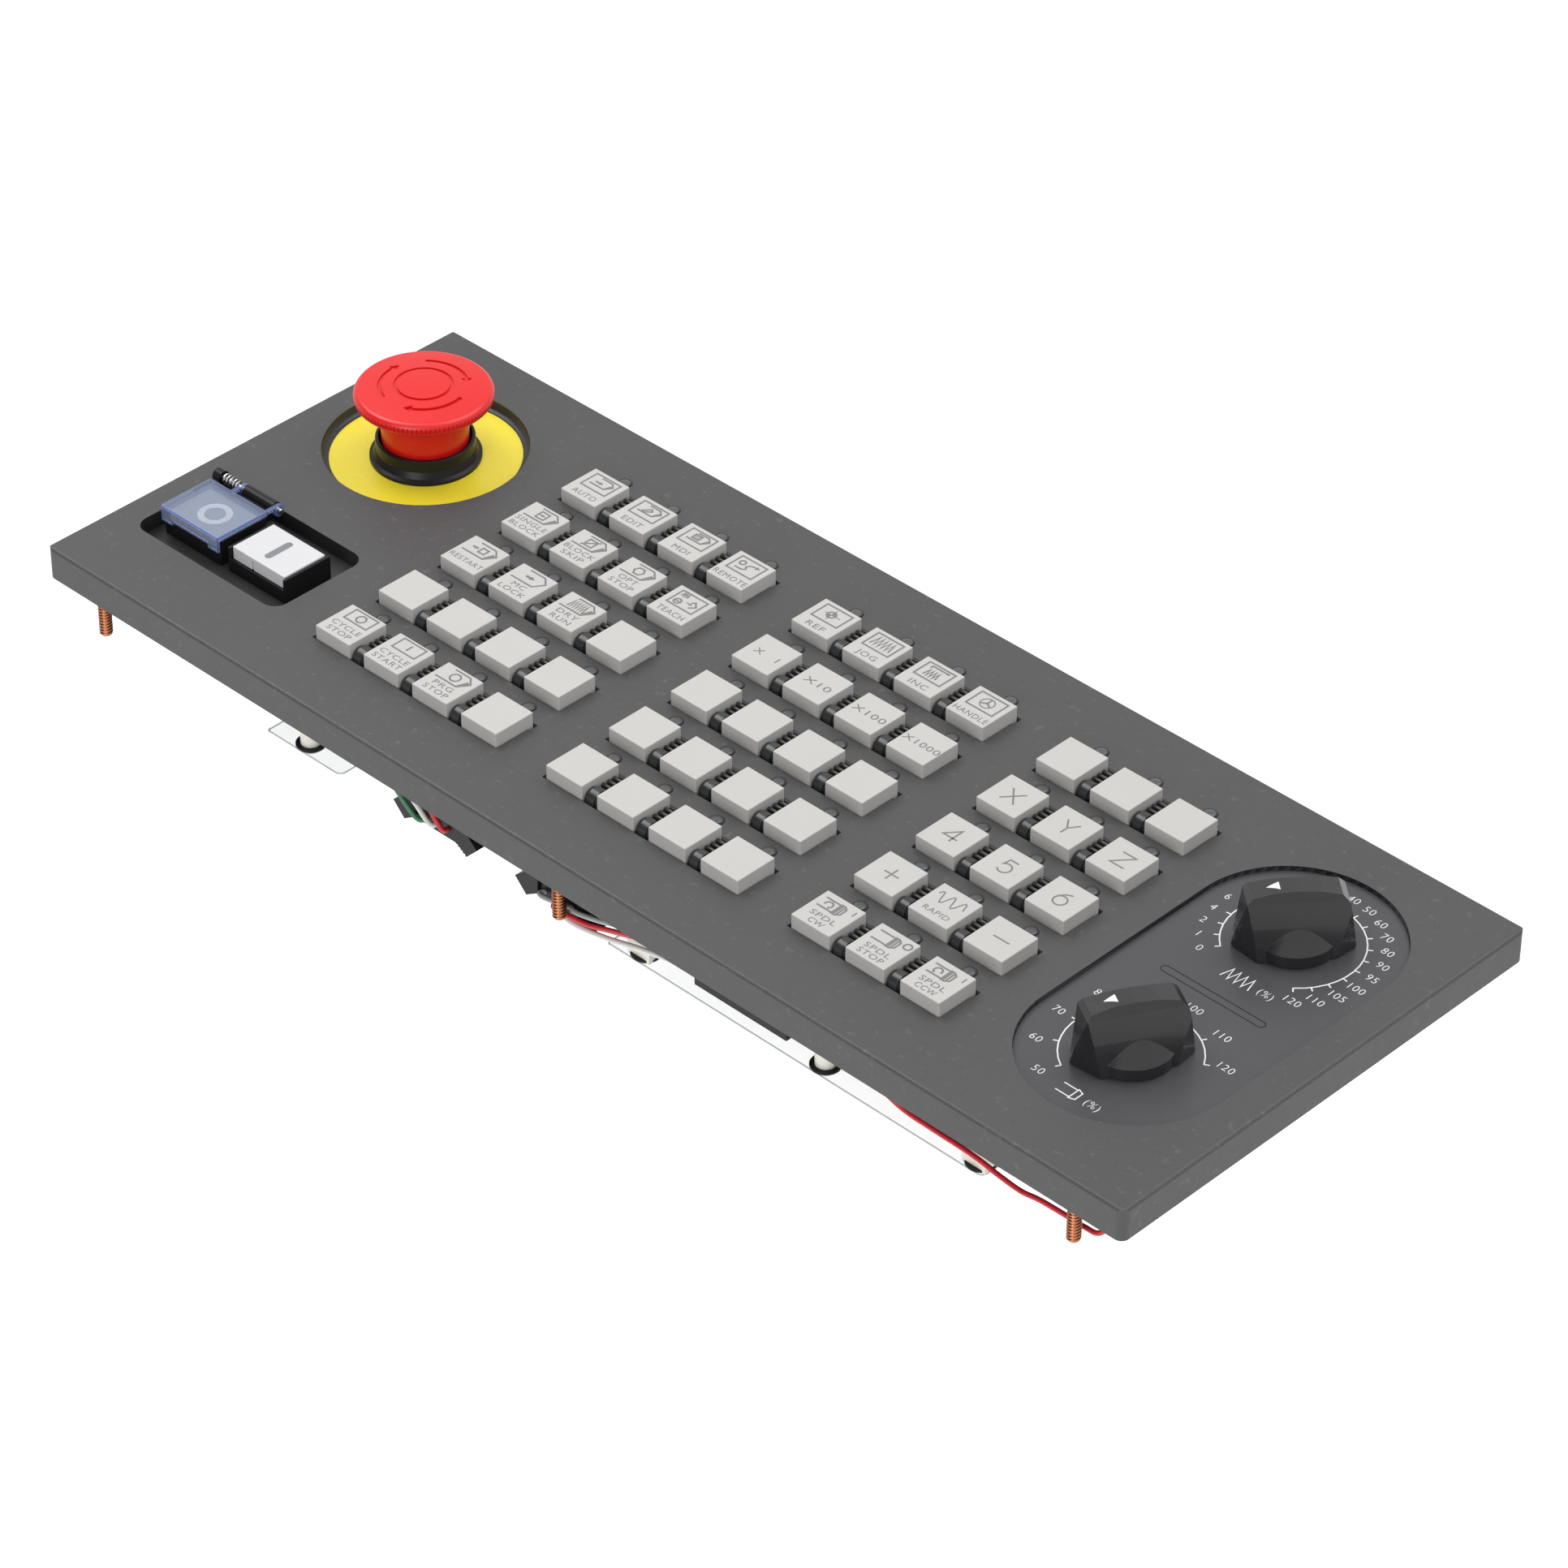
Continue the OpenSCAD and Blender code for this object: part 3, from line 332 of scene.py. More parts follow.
class Workshop:
    """Holds the frame, the node groups and the materials, and puts pieces in the scene."""

    def __init__(self, frame: dict[str, Any]) -> None:
        """Keeps the loaded frame."""
        self.frame = frame
        self.kit = NodeKit()
        self._materials: dict[str, bpy.types.Material] = {}

    def material(self, finish: Finish) -> bpy.types.Material:
        """Builds a finish's material once and returns it."""
        if finish.name not in self._materials:
            self._materials[finish.name] = finish.build(self.kit)
        return self._materials[finish.name]

    def dress(self, node: str, finish: Finish, rounding: float = 0.0, segments: int = 2,
              edge: Finish | None = None) -> bpy.types.Object:
        """Gives a CAD node its finish, and rounds its sharp edges where asked.

        Args:
            node: The CAD node's name.
            finish: The finish that all its faces get.
            rounding: Edge rounding in millimetres, none at 0.
            segments: Steps in the rounding.
            edge: A finish of its own for the rounded edges, if they have one.

        Returns:
            The node's object.
        """
        obj = self.frame["nodes"][node]
        obj.data.materials.clear()
        obj.data.materials.append(self.material(finish))
        if rounding:
            weld = obj.modifiers.new("weld", "WELD")
            weld.merge_threshold = 0.002 * MM
            flat = obj.modifiers.new("flat", "DECIMATE")
            flat.decimate_type = "DISSOLVE"
            flat.angle_limit = math.radians(0.6)
            bevel = obj.modifiers.new("rounding", "BEVEL")
            bevel.width = rounding * MM
            bevel.segments = segments
            bevel.limit_method = "ANGLE"
            bevel.angle_limit = math.radians(32)
            bevel.use_clamp_overlap = edge is None
            if edge is not None:
                obj.data.materials.append(self.material(edge))
                bevel.material = 1
            normals = obj.modifiers.new("normals", "WEIGHTED_NORMAL")
            normals.keep_sharp = True
        LOG.info("dressed %s in %s", node, finish.name)
        return obj

    def tint(self, obj: bpy.types.Object, finish: Finish, low: Point, high: Point) -> None:
        """Gives a second finish to the faces whose middles lie in a box.

        Args:
            obj: The dressed node.
            finish: The second finish.
            low: The box's low corner in millimetres.
            high: The box's high corner in millimetres.
        """
        material = self.material(finish)
        if material.name not in obj.data.materials:
            obj.data.materials.append(material)
        index = obj.data.materials.find(material.name)
        for face in obj.data.polygons:
            if all(a <= c / MM <= b for a, c, b in zip(low, face.center, high)):
                face.material_index = index

    def piece(self, name: str, mesh: Any, finish: Finish, body: str, slot: str = "") -> bpy.types.Object:
        """Puts a new piece in the scene, riding on a body.

        Args:
            name: The piece's name.
            mesh: Its mesh or curve.
            finish: Its finish.
            body: The CAD body it rides on.
            slot: The record's material slot; not used.

        Returns:
            The new object.
        """
        obj = bpy.data.objects.new(name, mesh)
        bpy.context.scene.collection.objects.link(obj)
        mesh.materials.append(self.material(finish))
        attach(obj, body)
        LOG.info("built %s on %s", name, body)
        return obj


def polar(x: float, y: float, r: float, degrees: float) -> tuple[float, float]:
    """Point at an angle round a centre."""
    a = math.radians(degrees)
    return (x + r * math.cos(a), y + r * math.sin(a))


def smooth(mesh: bpy.types.Mesh) -> None:
    """Shades a mesh smooth."""
    for p in mesh.polygons:
        p.use_smooth = True


def to_mesh(bm: bmesh.types.BMesh, name: str) -> bpy.types.Mesh:
    """Turns a working mesh into a finished one.

    Args:
        bm: The working mesh, which is freed.
        name: The finished mesh's name.

    Returns:
        The finished mesh.
    """
    mesh = bpy.data.meshes.new(name)
    bm.to_mesh(mesh)
    bm.free()
    return mesh


def circle(bm: bmesh.types.BMesh, centre: Point, r: float, z: float, sides: int) -> list[bmesh.types.BMVert]:
    """Adds a ring of corners round a centre, all in millimetres."""
    return [bm.verts.new(Vector((*polar(centre[0], centre[1], r, 360 * i / sides), z)) * MM)
            for i in range(sides)]


def skin(bm: bmesh.types.BMesh, rings: list[list[bmesh.types.BMVert]], looped: bool = False) -> None:
    """Joins rings of corners with walls.

    Args:
        bm: The mesh to add to.
        rings: The rings, each with as many corners.
        looped: Whether the last ring joins the first; otherwise both ends are capped.
    """
    for a, b in zip(rings, rings[1:] + rings[:1] if looped else rings[1:]):
        for i in range(len(a)):
            j = (i + 1) % len(a)
            bm.faces.new([a[i], a[j], b[j], b[i]])
    if not looped:
        bm.faces.new(list(reversed(rings[0])))
        bm.faces.new(rings[-1])


def revolve(bm: bmesh.types.BMesh, profile: Sequence[Point], centre: Point, sides: int) -> None:
    """Turns a profile of height and radius pairs into a closed solid.

    Args:
        bm: The mesh to add to.
        profile: Height and radius pairs from the bottom up, in millimetres.
        centre: The axis foot, in millimetres.
        sides: How many sides.
    """
    skin(bm, [circle(bm, centre, r, centre[2] + h, sides) for h, r in profile])


@dataclass
class Ink:
    """Print of very small thickness: mitred strokes, filled shapes and words in one mesh."""

    level: float
    thick: float = 0.03
    weight: float = 0.0
    count: int = 0
    bm: bmesh.types.BMesh = field(default_factory=bmesh.new)

    def _top(self) -> float:
        """Height of the next shape, a hair above the last so that none share a plane."""
        self.count += 1
        return self.level + self.thick + INK_STEP * (self.count % INK_LEVELS)

    def _prism(self, ring: list[Vector], faces: list[list[int]], rim: list[int]) -> None:
        """Adds a flat shape with walls down into the surface.

        Args:
            ring: Its points, in millimetres at the top level.
            faces: Top faces as point numbers.
            rim: The closed outline as point numbers, with the shape on its left.
        """
        top = [self.bm.verts.new(p * MM) for p in ring]
        low = [self.bm.verts.new(Vector((p.x, p.y, self.level - INK_SINK)) * MM) for p in ring]
        for f in faces:
            self.bm.faces.new([top[i] for i in f])
            self.bm.faces.new([low[i] for i in reversed(f)])
        for a, b in zip(rim, rim[1:] + rim[:1]):
            self.bm.faces.new([low[a], low[b], top[b], top[a]])

    def fill(self, points: Sequence[Point]) -> None:
        """Fills a shape given by its corners, in either direction."""
        z = self._top()
        n = len(points)
        area = sum(p[0] * q[1] - q[0] * p[1] for p, q in zip(points, [*points[1:], points[0]]))
        ordered = list(points) if area > 0 else list(reversed(points))
        self._prism([Vector((p[0], p[1], z)) for p in ordered], [list(range(n))], list(range(n)))

    def stroke(self, points: Sequence[Point], width: float, closed: bool = False) -> None:
        """Draws a line of even width with mitred corners.

        Args:
            points: The centre line in millimetres.
            width: The line's width.
            closed: Whether the last point joins the first.
        """
        z = self._top()
        n = len(points)
        path = [Vector((p[0], p[1])) for p in points]
        left, right = [], []
        for i, p in enumerate(path):
            before = path[i - 1] if (closed or i) else None
            after = path[(i + 1) % n] if (closed or i < n - 1) else None
            din = (p - before).normalized() if before is not None else (after - p).normalized()
            dout = (after - p).normalized() if after is not None else din
            mid = din + dout
            mid = mid.normalized() if mid.length > 1e-6 else din
            side = Vector((-mid.y, mid.x))
            reach = 0.5 * width / max(0.35, side.dot(Vector((-din.y, din.x))))
            left.append(p + side * reach)
            right.append(p - side * reach)
        if closed:
            for i in range(n):
                j = (i + 1) % n
                quad = [right[i], right[j], left[j], left[i]]
                self._wall_quad(quad, z)
            return
        ring = [Vector((p.x, p.y, z)) for p in right + left]
        faces = [[i, i + 1, n + i + 1, n + i] for i in range(n - 1)]
        self._prism(ring, faces, list(range(n)) + [n + i for i in reversed(range(n))])

    def _wall_quad(self, quad: list[Vector], z: float) -> None:
        """Adds one stretch of a closed line: its top, its bottom and its two long walls."""
        top = [self.bm.verts.new(Vector((p.x, p.y, z)) * MM) for p in quad]
        low = [self.bm.verts.new(Vector((p.x, p.y, self.level - INK_SINK)) * MM) for p in quad]
        self.bm.faces.new(top)
        self.bm.faces.new(list(reversed(low)))
        self.bm.faces.new([low[0], low[1], top[1], top[0]])
        self.bm.faces.new([low[2], low[3], top[3], top[2]])

    def ring(self, x: float, y: float, r: float, width: float, start: float = 0, end: float = 360) -> None:
        """Draws a circle, or an arc from start to end degrees, anticlockwise from +X."""
        whole = abs(end - start) >= 359.9
        n = max(8, int(abs(end - start) / 9))
        steps = n if whole else n + 1
        points = [polar(x, y, r, start + (end - start) * i / n) for i in range(steps)]
        self.stroke(points, width, closed=whole)

    def disc(self, x: float, y: float, r: float) -> None:
        """Fills a circle."""
        self.fill([polar(x, y, r, 10 * i) for i in range(36)])

    def arrow(self, tail: Point, tip: Point, width: float, head: float) -> None:
        """Draws a solid arrow.

        Args:
            tail: Where the shaft starts.
            tip: The point.
            width: The shaft's width.
            head: The head's width and length.
        """
        a, b = Vector(tail), Vector(tip)
        d = (b - a).normalized()
        s = Vector((-d.y, d.x))
        neck = b - d * head
        self.fill([a - s * width / 2, neck - s * width / 2, neck - s * head / 2, b,
                   neck + s * head / 2, neck + s * width / 2, a + s * width / 2])

    def words(self, text: str, x: float, y: float, height: float, width: float = 0.0) -> None:
        """Sets a word centred on x with its foot at y.

        Args:
            text: The word, in capitals or digits.
            x: The word's middle.
            y: The word's foot.
            height: The height of its capitals.
            width: Its overall width, or 0 for the face's own.
        """
        z = self._top()
        font = bpy.data.curves.new("word", "FONT")
        font.body = text
        font.resolution_u = WORD_STEPS
        font.space_character = WORD_SPACING
        font.extrude = WORD_THICK
        font.offset = self.weight
        holder = bpy.data.objects.new("word", font)
        bpy.context.scene.collection.objects.link(holder)
        bpy.context.view_layer.update()
        mesh = bpy.data.meshes.new_from_object(holder)
        bpy.data.objects.remove(holder)
        xs = [v.co.x for v in mesh.vertices]
        wide = max(xs) - min(xs)
        sy = height / CAP_HEIGHT
        sx = width / wide if width else sy
        mid = 0.5 * (max(xs) + min(xs))
        for v in mesh.vertices:
            up = z if v.co.z > 0 else self.level - INK_SINK
            v.co = Vector(((v.co.x - mid) * sx + x, v.co.y * sy + y, up)) * MM
        self.bm.from_mesh(mesh)
        bpy.data.meshes.remove(mesh)

    def mesh(self, name: str, place: Point = (0.0, 0.0)) -> bpy.types.Mesh:
        """Finishes the print.

        Args:
            name: The mesh's name.
            place: Where its own origin goes in the panel's plane, in millimetres.

        Returns:
            The mesh.
        """
        bmesh.ops.translate(self.bm, verts=self.bm.verts, vec=Vector((place[0], place[1], 0)) * MM)
        return to_mesh(self.bm, name)


class Sign(Enum):
    """Picture on a key."""

    NONE = auto()
    AUTO = auto()
    EDIT = auto()
    MDI = auto()
    REMOTE = auto()
    SINGLE = auto()
    SKIP = auto()
    OPTIONAL = auto()
    TEACH = auto()
    RESTART = auto()
    LOCK = auto()
    DRY = auto()
    CYCLE_STOP = auto()
    CYCLE_START = auto()
    PROGRAM_STOP = auto()
    HOME = auto()
    JOG = auto()
    INC = auto()
    WHEEL = auto()
    RAPID = auto()
    SPIN_CW = auto()
    SPIN_STOP = auto()
    SPIN_CCW = auto()
    LETTER_X = auto()
    LETTER_Y = auto()
    LETTER_Z = auto()
    DIGIT_4 = auto()
    DIGIT_5 = auto()
    DIGIT_6 = auto()
    PLUS = auto()
    MINUS = auto()


@dataclass(frozen=True)
class Legend:
    """Legend of one key: its group, column and row, its picture and its words."""

    key: str
    group: int
    column: int
    row: int
    sign: Sign
    lines: Words = ()  # word, foot, height, width


LOW, HIGH = 1.3, 4.15  # feet of the lower and the upper word
SHORT, TALL = 2.0, 2.2  # letter heights


def one(word: str, width: float) -> Words:
    """One word at the foot of a key."""
    return ((word, LOW, TALL, width),)


def two(upper: str, upper_width: float, lower: str, lower_width: float) -> Words:
    """Two short words, one over the other."""
    return ((upper, HIGH, SHORT, upper_width), (lower, LOW, SHORT, lower_width))


LEGENDS = (
    Legend("auto", 0, 0, 4, Sign.AUTO, one("AUTO", 8.8)),
    Legend("edit", 0, 1, 4, Sign.EDIT, one("EDIT", 7.4)),
    Legend("mdi", 0, 2, 4, Sign.MDI, one("MDI", 6.0)),
    Legend("remote", 0, 3, 4, Sign.REMOTE, one("REMOTE", 12.0)),
    Legend("single_block", 0, 0, 3, Sign.SINGLE, two("SINGLE", 11.6, "BLOCK", 11.2)),
    Legend("block_skip", 0, 1, 3, Sign.SKIP, two("BLOCK", 11.2, "SKIP", 8.2)),
    Legend("optional_stop", 0, 2, 3, Sign.OPTIONAL, two("OPT", 6.8, "STOP", 8.9)),
    Legend("teach", 0, 3, 3, Sign.TEACH, one("TEACH", 9.8)),
    Legend("restart", 0, 0, 2, Sign.RESTART, (("RESTART", 2.4, SHORT, 12.2),)),
    Legend("machine_lock", 0, 1, 2, Sign.LOCK, two("MC", 5.0, "LOCK", 9.6)),
    Legend("dry_run", 0, 2, 2, Sign.DRY, two("DRY", 7.7, "RUN", 7.3)),
    Legend("cycle_stop", 0, 0, 0, Sign.CYCLE_STOP, two("CYCLE", 10.8, "STOP", 8.9)),
    Legend("cycle_start", 0, 1, 0, Sign.CYCLE_START, two("CYCLE", 10.8, "START", 10.7)),
    Legend("program_stop", 0, 2, 0, Sign.PROGRAM_STOP, two("PRG", 7.2, "STOP", 8.9)),
    Legend("reference", 1, 0, 4, Sign.HOME, one("REF", 6.4)),
    Legend("jog", 1, 1, 4, Sign.JOG, one("JOG", 7.0)),
    Legend("increment", 1, 2, 4, Sign.INC, one("INC", 6.4)),
    Legend("handle", 1, 3, 4, Sign.WHEEL, one("HANDLE", 11.8)),
    Legend("step_1", 1, 0, 3, Sign.NONE, (("X   1", 5.4, 2.5, 8.4),)),
    Legend("step_10", 1, 1, 3, Sign.NONE, (("X10", 5.4, 2.5, 9.2),)),
    Legend("step_100", 1, 2, 3, Sign.NONE, (("X100", 5.4, 2.5, 11.4),)),
    Legend("step_1000", 1, 3, 3, Sign.NONE, (("X1000", 5.4, 2.4, 12.6),)),
    Legend("axis_x", 2, 0, 3, Sign.LETTER_X),
    Legend("axis_y", 2, 1, 3, Sign.LETTER_Y),
    Legend("axis_z", 2, 2, 3, Sign.LETTER_Z),
    Legend("axis_4", 2, 0, 2, Sign.DIGIT_4),
    Legend("axis_5", 2, 1, 2, Sign.DIGIT_5),
    Legend("axis_6", 2, 2, 2, Sign.DIGIT_6),
    Legend("plus", 2, 0, 1, Sign.PLUS),
    Legend("rapid", 2, 1, 1, Sign.RAPID, (("RAPID", 2.2, SHORT, 8.6),)),
    Legend("minus", 2, 2, 1, Sign.MINUS),
    Legend("spindle_cw", 2, 0, 0, Sign.SPIN_CW,
           (("SPDL", HIGH - 0.4, SHORT, 8.6), ("CW", LOW - 0.3, SHORT, 5.0))),
    Legend("spindle_stop", 2, 1, 0, Sign.SPIN_STOP,
           (("SPDL", HIGH - 0.4, SHORT, 8.6), ("STOP", LOW - 0.3, SHORT, 8.6))),
    Legend("spindle_ccw", 2, 2, 0, Sign.SPIN_CCW,
           (("SPDL", HIGH - 0.4, SHORT, 8.6), ("CCW", LOW - 0.3, SHORT, 6.8))),
)


# Signs made of plain lines only: each row of points is one line.
GLYPH_LINE = 0.5
GLYPHS: dict[Sign, tuple[tuple[Point, ...], ...]] = {
    Sign.LETTER_X: (((4.6, 4.0), (9.4, 9.6)), ((4.6, 9.6), (9.4, 4.0))),
    Sign.LETTER_Y: (((4.8, 9.6), (7.0, 6.6), (9.2, 9.6)), ((7.0, 6.8), (7.0, 4.0))),
    Sign.LETTER_Z: (((5.0, 9.3), (9.6, 9.3), (5.0, 4.0), (9.8, 4.0)),),
    Sign.DIGIT_4: (((8.0, 4.0), (8.0, 9.6), (4.6, 5.6), (9.4, 5.6)),),
    Sign.DIGIT_5: (((8.6, 9.5), (5.8, 9.5), *(polar(6.9, 5.9, 1.95, a) for a in range(140, -151, -15))),),
    Sign.PLUS: (((4.6, 6.7), (9.6, 6.7)), ((7.1, 4.2), (7.1, 9.2))),
    Sign.MINUS: (((4.5, 6.7), (9.9, 6.7)),),
}


@dataclass
class SignWriter:
    """Draws the pictures of the keys, in a key's own millimetres."""

    ink: Ink
    line: float = 0.56

    def draw(self, sign: Sign) -> None:
        """Draws one picture, from its lines or by the method of its name."""
        for points in GLYPHS.get(sign, ()):
            self.ink.stroke(points, GLYPH_LINE)
        if sign not in GLYPHS:
            getattr(self, "_" + sign.name.lower())()

    def _box(self, x0: float, y0: float, x1: float, y1: float) -> None:
        """Outline of a box between two corners."""
        self.ink.stroke([(x0, y0), (x1, y0), (x1, y1), (x0, y1)], self.line, closed=True)

    def _frame(self) -> None:
        """Frame of the mode keys."""
        self._box(2.3, 5.5, 11.7, 12.2)

    def _tag(self, x: float = 1.6, y: float = 0.0, size: float = 1.0, shade: bool = True) -> None:
        """Program tag: two lines that meet in a point at the right, its lower corner shaded."""
        top, low, tip = 12.6 + y, 12.6 + y - 5.4 * size, x + 10.4 * size
        bend = tip - 2.3 * size
        mid = 0.5 * (top + low) + 0.5 * size
        self.ink.stroke([(x + 2.4 * size, top), (bend, top), (tip, mid), (bend, low), (x, low)], self.line)
        if shade:
            self.ink.fill([(bend - 0.6 * size, low), (bend, low), (tip, mid),
                           (tip - 1.5 * size, mid + 0.4 * size)])

    def _small_tag(self) -> None:
        """Tag inside a frame."""
        self._tag(3.6, -1.2, 0.68)

    def _none(self) -> None:
        """No picture."""

    def _auto(self) -> None:
        """Frame, tag and arrow."""
        self._frame()
        self._small_tag()
        self.ink.arrow((4.6, 9.2), (7.6, 9.2), 0.6, 1.4)

    def _edit(self) -> None:
        """Frame, tag and pencil."""
        self._frame()
        self._small_tag()
        self.ink.stroke([(5.0, 8.3), (6.9, 10.3), (7.7, 9.5), (5.8, 7.9)], self.line, closed=True)

    def _mdi(self) -> None:
        """Frame, tag and a barred square."""
        self._frame()
        self._small_tag()
        self._box(5.0, 8.6, 7.4, 10.6)
        for y in (9.25, 9.95):
            self.ink.stroke([(5.2, y), (7.2, y)], 0.3)

    def _remote(self) -> None:
        """Frame and an arrow bent like an S."""
        self._frame()
        self.ink.stroke([(3.9, 7.2), (6.4, 7.2), (7.4, 8.0), (6.6, 9.0), (7.4, 10.0), (8.6, 10.4)], self.line)
        self.ink.arrow((8.2, 10.4), (10.6, 10.4), 0.46, 1.5)
        self.ink.ring(4.6, 9.8, 0.9, self.line)

    def _single(self) -> None:
        """Tag with a boxed arrow."""
        self._tag()
        self._box(5.0, 8.4, 8.0, 11.4)
        self.ink.arrow((5.4, 9.9), (7.6, 9.9), 0.6, 1.1)

    def _skip(self) -> None:
        """Tag with a framed square and a slash across it."""
        self._tag()
        self._box(5.0, 8.4, 8.0, 11.4)
        self.ink.stroke([(4.2, 8.0), (8.8, 12.0)], self.line)

    def _optional(self) -> None:
        """Tag with a six-sided ring."""
        self._tag()
        self.ink.stroke([polar(6.4, 9.9, 1.7, 60 * i) for i in range(6)], self.line, closed=True)

    def _teach(self) -> None:
        """Frame with a zigzag, a wheel and a turned square."""
        self._frame()
        self._zigzag(3.4, 11.0, 0.75, 3, 0.9)
        self.ink.ring(4.6, 7.5, 1.1, self.line)
        self.ink.stroke([(3.9, 7.5), (5.3, 7.5)], self.line)
        self.ink.stroke([(9.0, 7.0), (10.6, 8.6), (9.0, 10.2), (8.1, 9.3)], self.line)
        self.ink.arrow((7.0, 8.6), (9.2, 8.6), 0.4, 1.0)

    def _restart(self) -> None:
        """Tag with an arrow to a box."""
        self._tag(1.6, -0.4)
        self.ink.arrow((3.2, 9.6), (5.6, 9.6), 0.7, 1.3)
        self._box(6.2, 8.5, 8.4, 10.7)

    def _lock(self) -> None:
        """Plain tag with an arrow."""
        self._tag(shade=False)
        self.ink.arrow((4.9, 9.9), (8.3, 9.9), 0.9, 1.7)

    def _dry(self) -> None:
        """Tag with a zigzag."""
        self._tag()
        self._zigzag(3.6, 9.9, 0.95, 6, 1.8)

    def _cycle_frame(self) -> None:
        """Frame of the cycle keys."""
        self._box(2.8, 7.9, 11.5, 12.8)

    def _cycle_stop(self) -> None:
        """Frame with a ring."""
        self._cycle_frame()
        self.ink.ring(7.15, 10.35, 1.45, self.line)

    def _cycle_start(self) -> None:
        """Frame with a bar."""
        self._cycle_frame()
        self.ink.stroke([(7.15, 9.1), (7.15, 11.6)], 0.6)

    def _program_stop(self) -> None:
        """Tag with a ring."""
        self._tag()
        self.ink.ring(6.6, 9.9, 1.55, self.line)

    def _home(self) -> None:
        """Frame with a target."""
        self._frame()
        x, y, r = 6.6, 9.0, 1.35
        self.ink.ring(x, y, r, self.line)
        self.ink.stroke([(x, y - 2.4), (x, y + 2.4)], 0.26)
        self.ink.stroke([(x - 2.4, y), (x + 3.2, y)], 0.26)
        for start in (0, 180):
            self.ink.fill([(x, y)] + [polar(x, y, r, start + 15 * i) for i in range(7)])

    def _zigzag(self, x: float, y: float, step: float, count: int, reach: float) -> None:
        """Zigzag line that starts at x and swings about y."""
        points = [(x + step * i * 0.5, y + (reach if i % 2 else -reach)) for i in range(2 * count + 1)]
        self.ink.stroke(points, self.line)

    def _jog(self) -> None:
        """Frame with a zigzag."""
        self._frame()
        self._zigzag(3.6, 9.0, 1.35, 5, 1.9)

    def _inc(self) -> None:
        """Frame with a zigzag under an arrow."""
        self._frame()
        self._zigzag(4.4, 8.2, 1.1, 4, 1.4)
        self.ink.stroke([(4.2, 10.2), (4.2, 11.2), (9.6, 11.2)], self.line)
        self.ink.arrow((8.6, 11.2), (10.6, 11.2), 0.3, 1.1)

    def _wheel(self) -> None:
        """Frame with a handwheel."""
        self._frame()
        x, y = 7.0, 8.95
        self.ink.ring(x, y, 2.1, 0.4)
        for a in (90, 210, 330):
            self.ink.stroke([(x, y), polar(x, y, 2.0, a)], self.line)
        self.ink.disc(x, y, 0.5)

    def _rapid(self) -> None:
        """Wave."""
        wave = [(2.0 + 0.2375 * i, 8.9 + 2.1 * math.sin(math.radians(22.5 * i + 20))) for i in range(41)]
        self.ink.stroke(wave, 0.4)

    def _spindle(self) -> None:
        """Spindle seen from the side."""
        self.ink.stroke([(1.8, 11.4), (7.4, 11.4)], self.line)
        self.ink.stroke([(1.8, 7.6), (7.4, 7.6)], self.line)
        nose = [(7.0, 7.4), (8.2, 7.4), (9.3, 8.3), (9.3, 10.8), (8.2, 11.7), (7.0, 11.7)]
        self.ink.stroke(nose, self.line, closed=True)
        self.ink.stroke([(7.6, 7.4), (7.6, 11.6)], self.line)
        self.ink.stroke([(8.4, 7.6), (8.4, 11.5)], self.line)

    def _spin_cw(self) -> None:
        """Spindle with a clockwise turn and a bar."""
        self._spindle()
        self.ink.ring(4.4, 9.4, 1.2, self.line, -60, 200)
        self.ink.fill([(5.6, 8.9), (4.6, 8.6), (5.2, 7.9)])
        self.ink.stroke([(11.9, 10.0), (11.9, 12.0)], 0.42)

    def _spin_stop(self) -> None:
        """Spindle with a ring."""
        self._spindle()
        self.ink.ring(11.6, 10.9, 1.15, self.line)

    def _spin_ccw(self) -> None:
        """Spindle with an anticlockwise turn and a bar."""
        self._spindle()
        self.ink.ring(4.4, 9.4, 1.2, self.line, -20, 240)
        self.ink.fill([(3.2, 8.9), (4.2, 8.6), (3.6, 7.9)])
        self.ink.stroke([(11.9, 10.0), (11.9, 12.0)], 0.42)

    def _digit_6(self) -> None:
        """Figure of the sixth axis."""
        self.ink.ring(7.0, 5.9, 1.95, 0.5)
        self.ink.stroke([(8.4, 9.6), (6.6, 8.7), (5.4, 7.2), (5.05, 5.9)], 0.5)


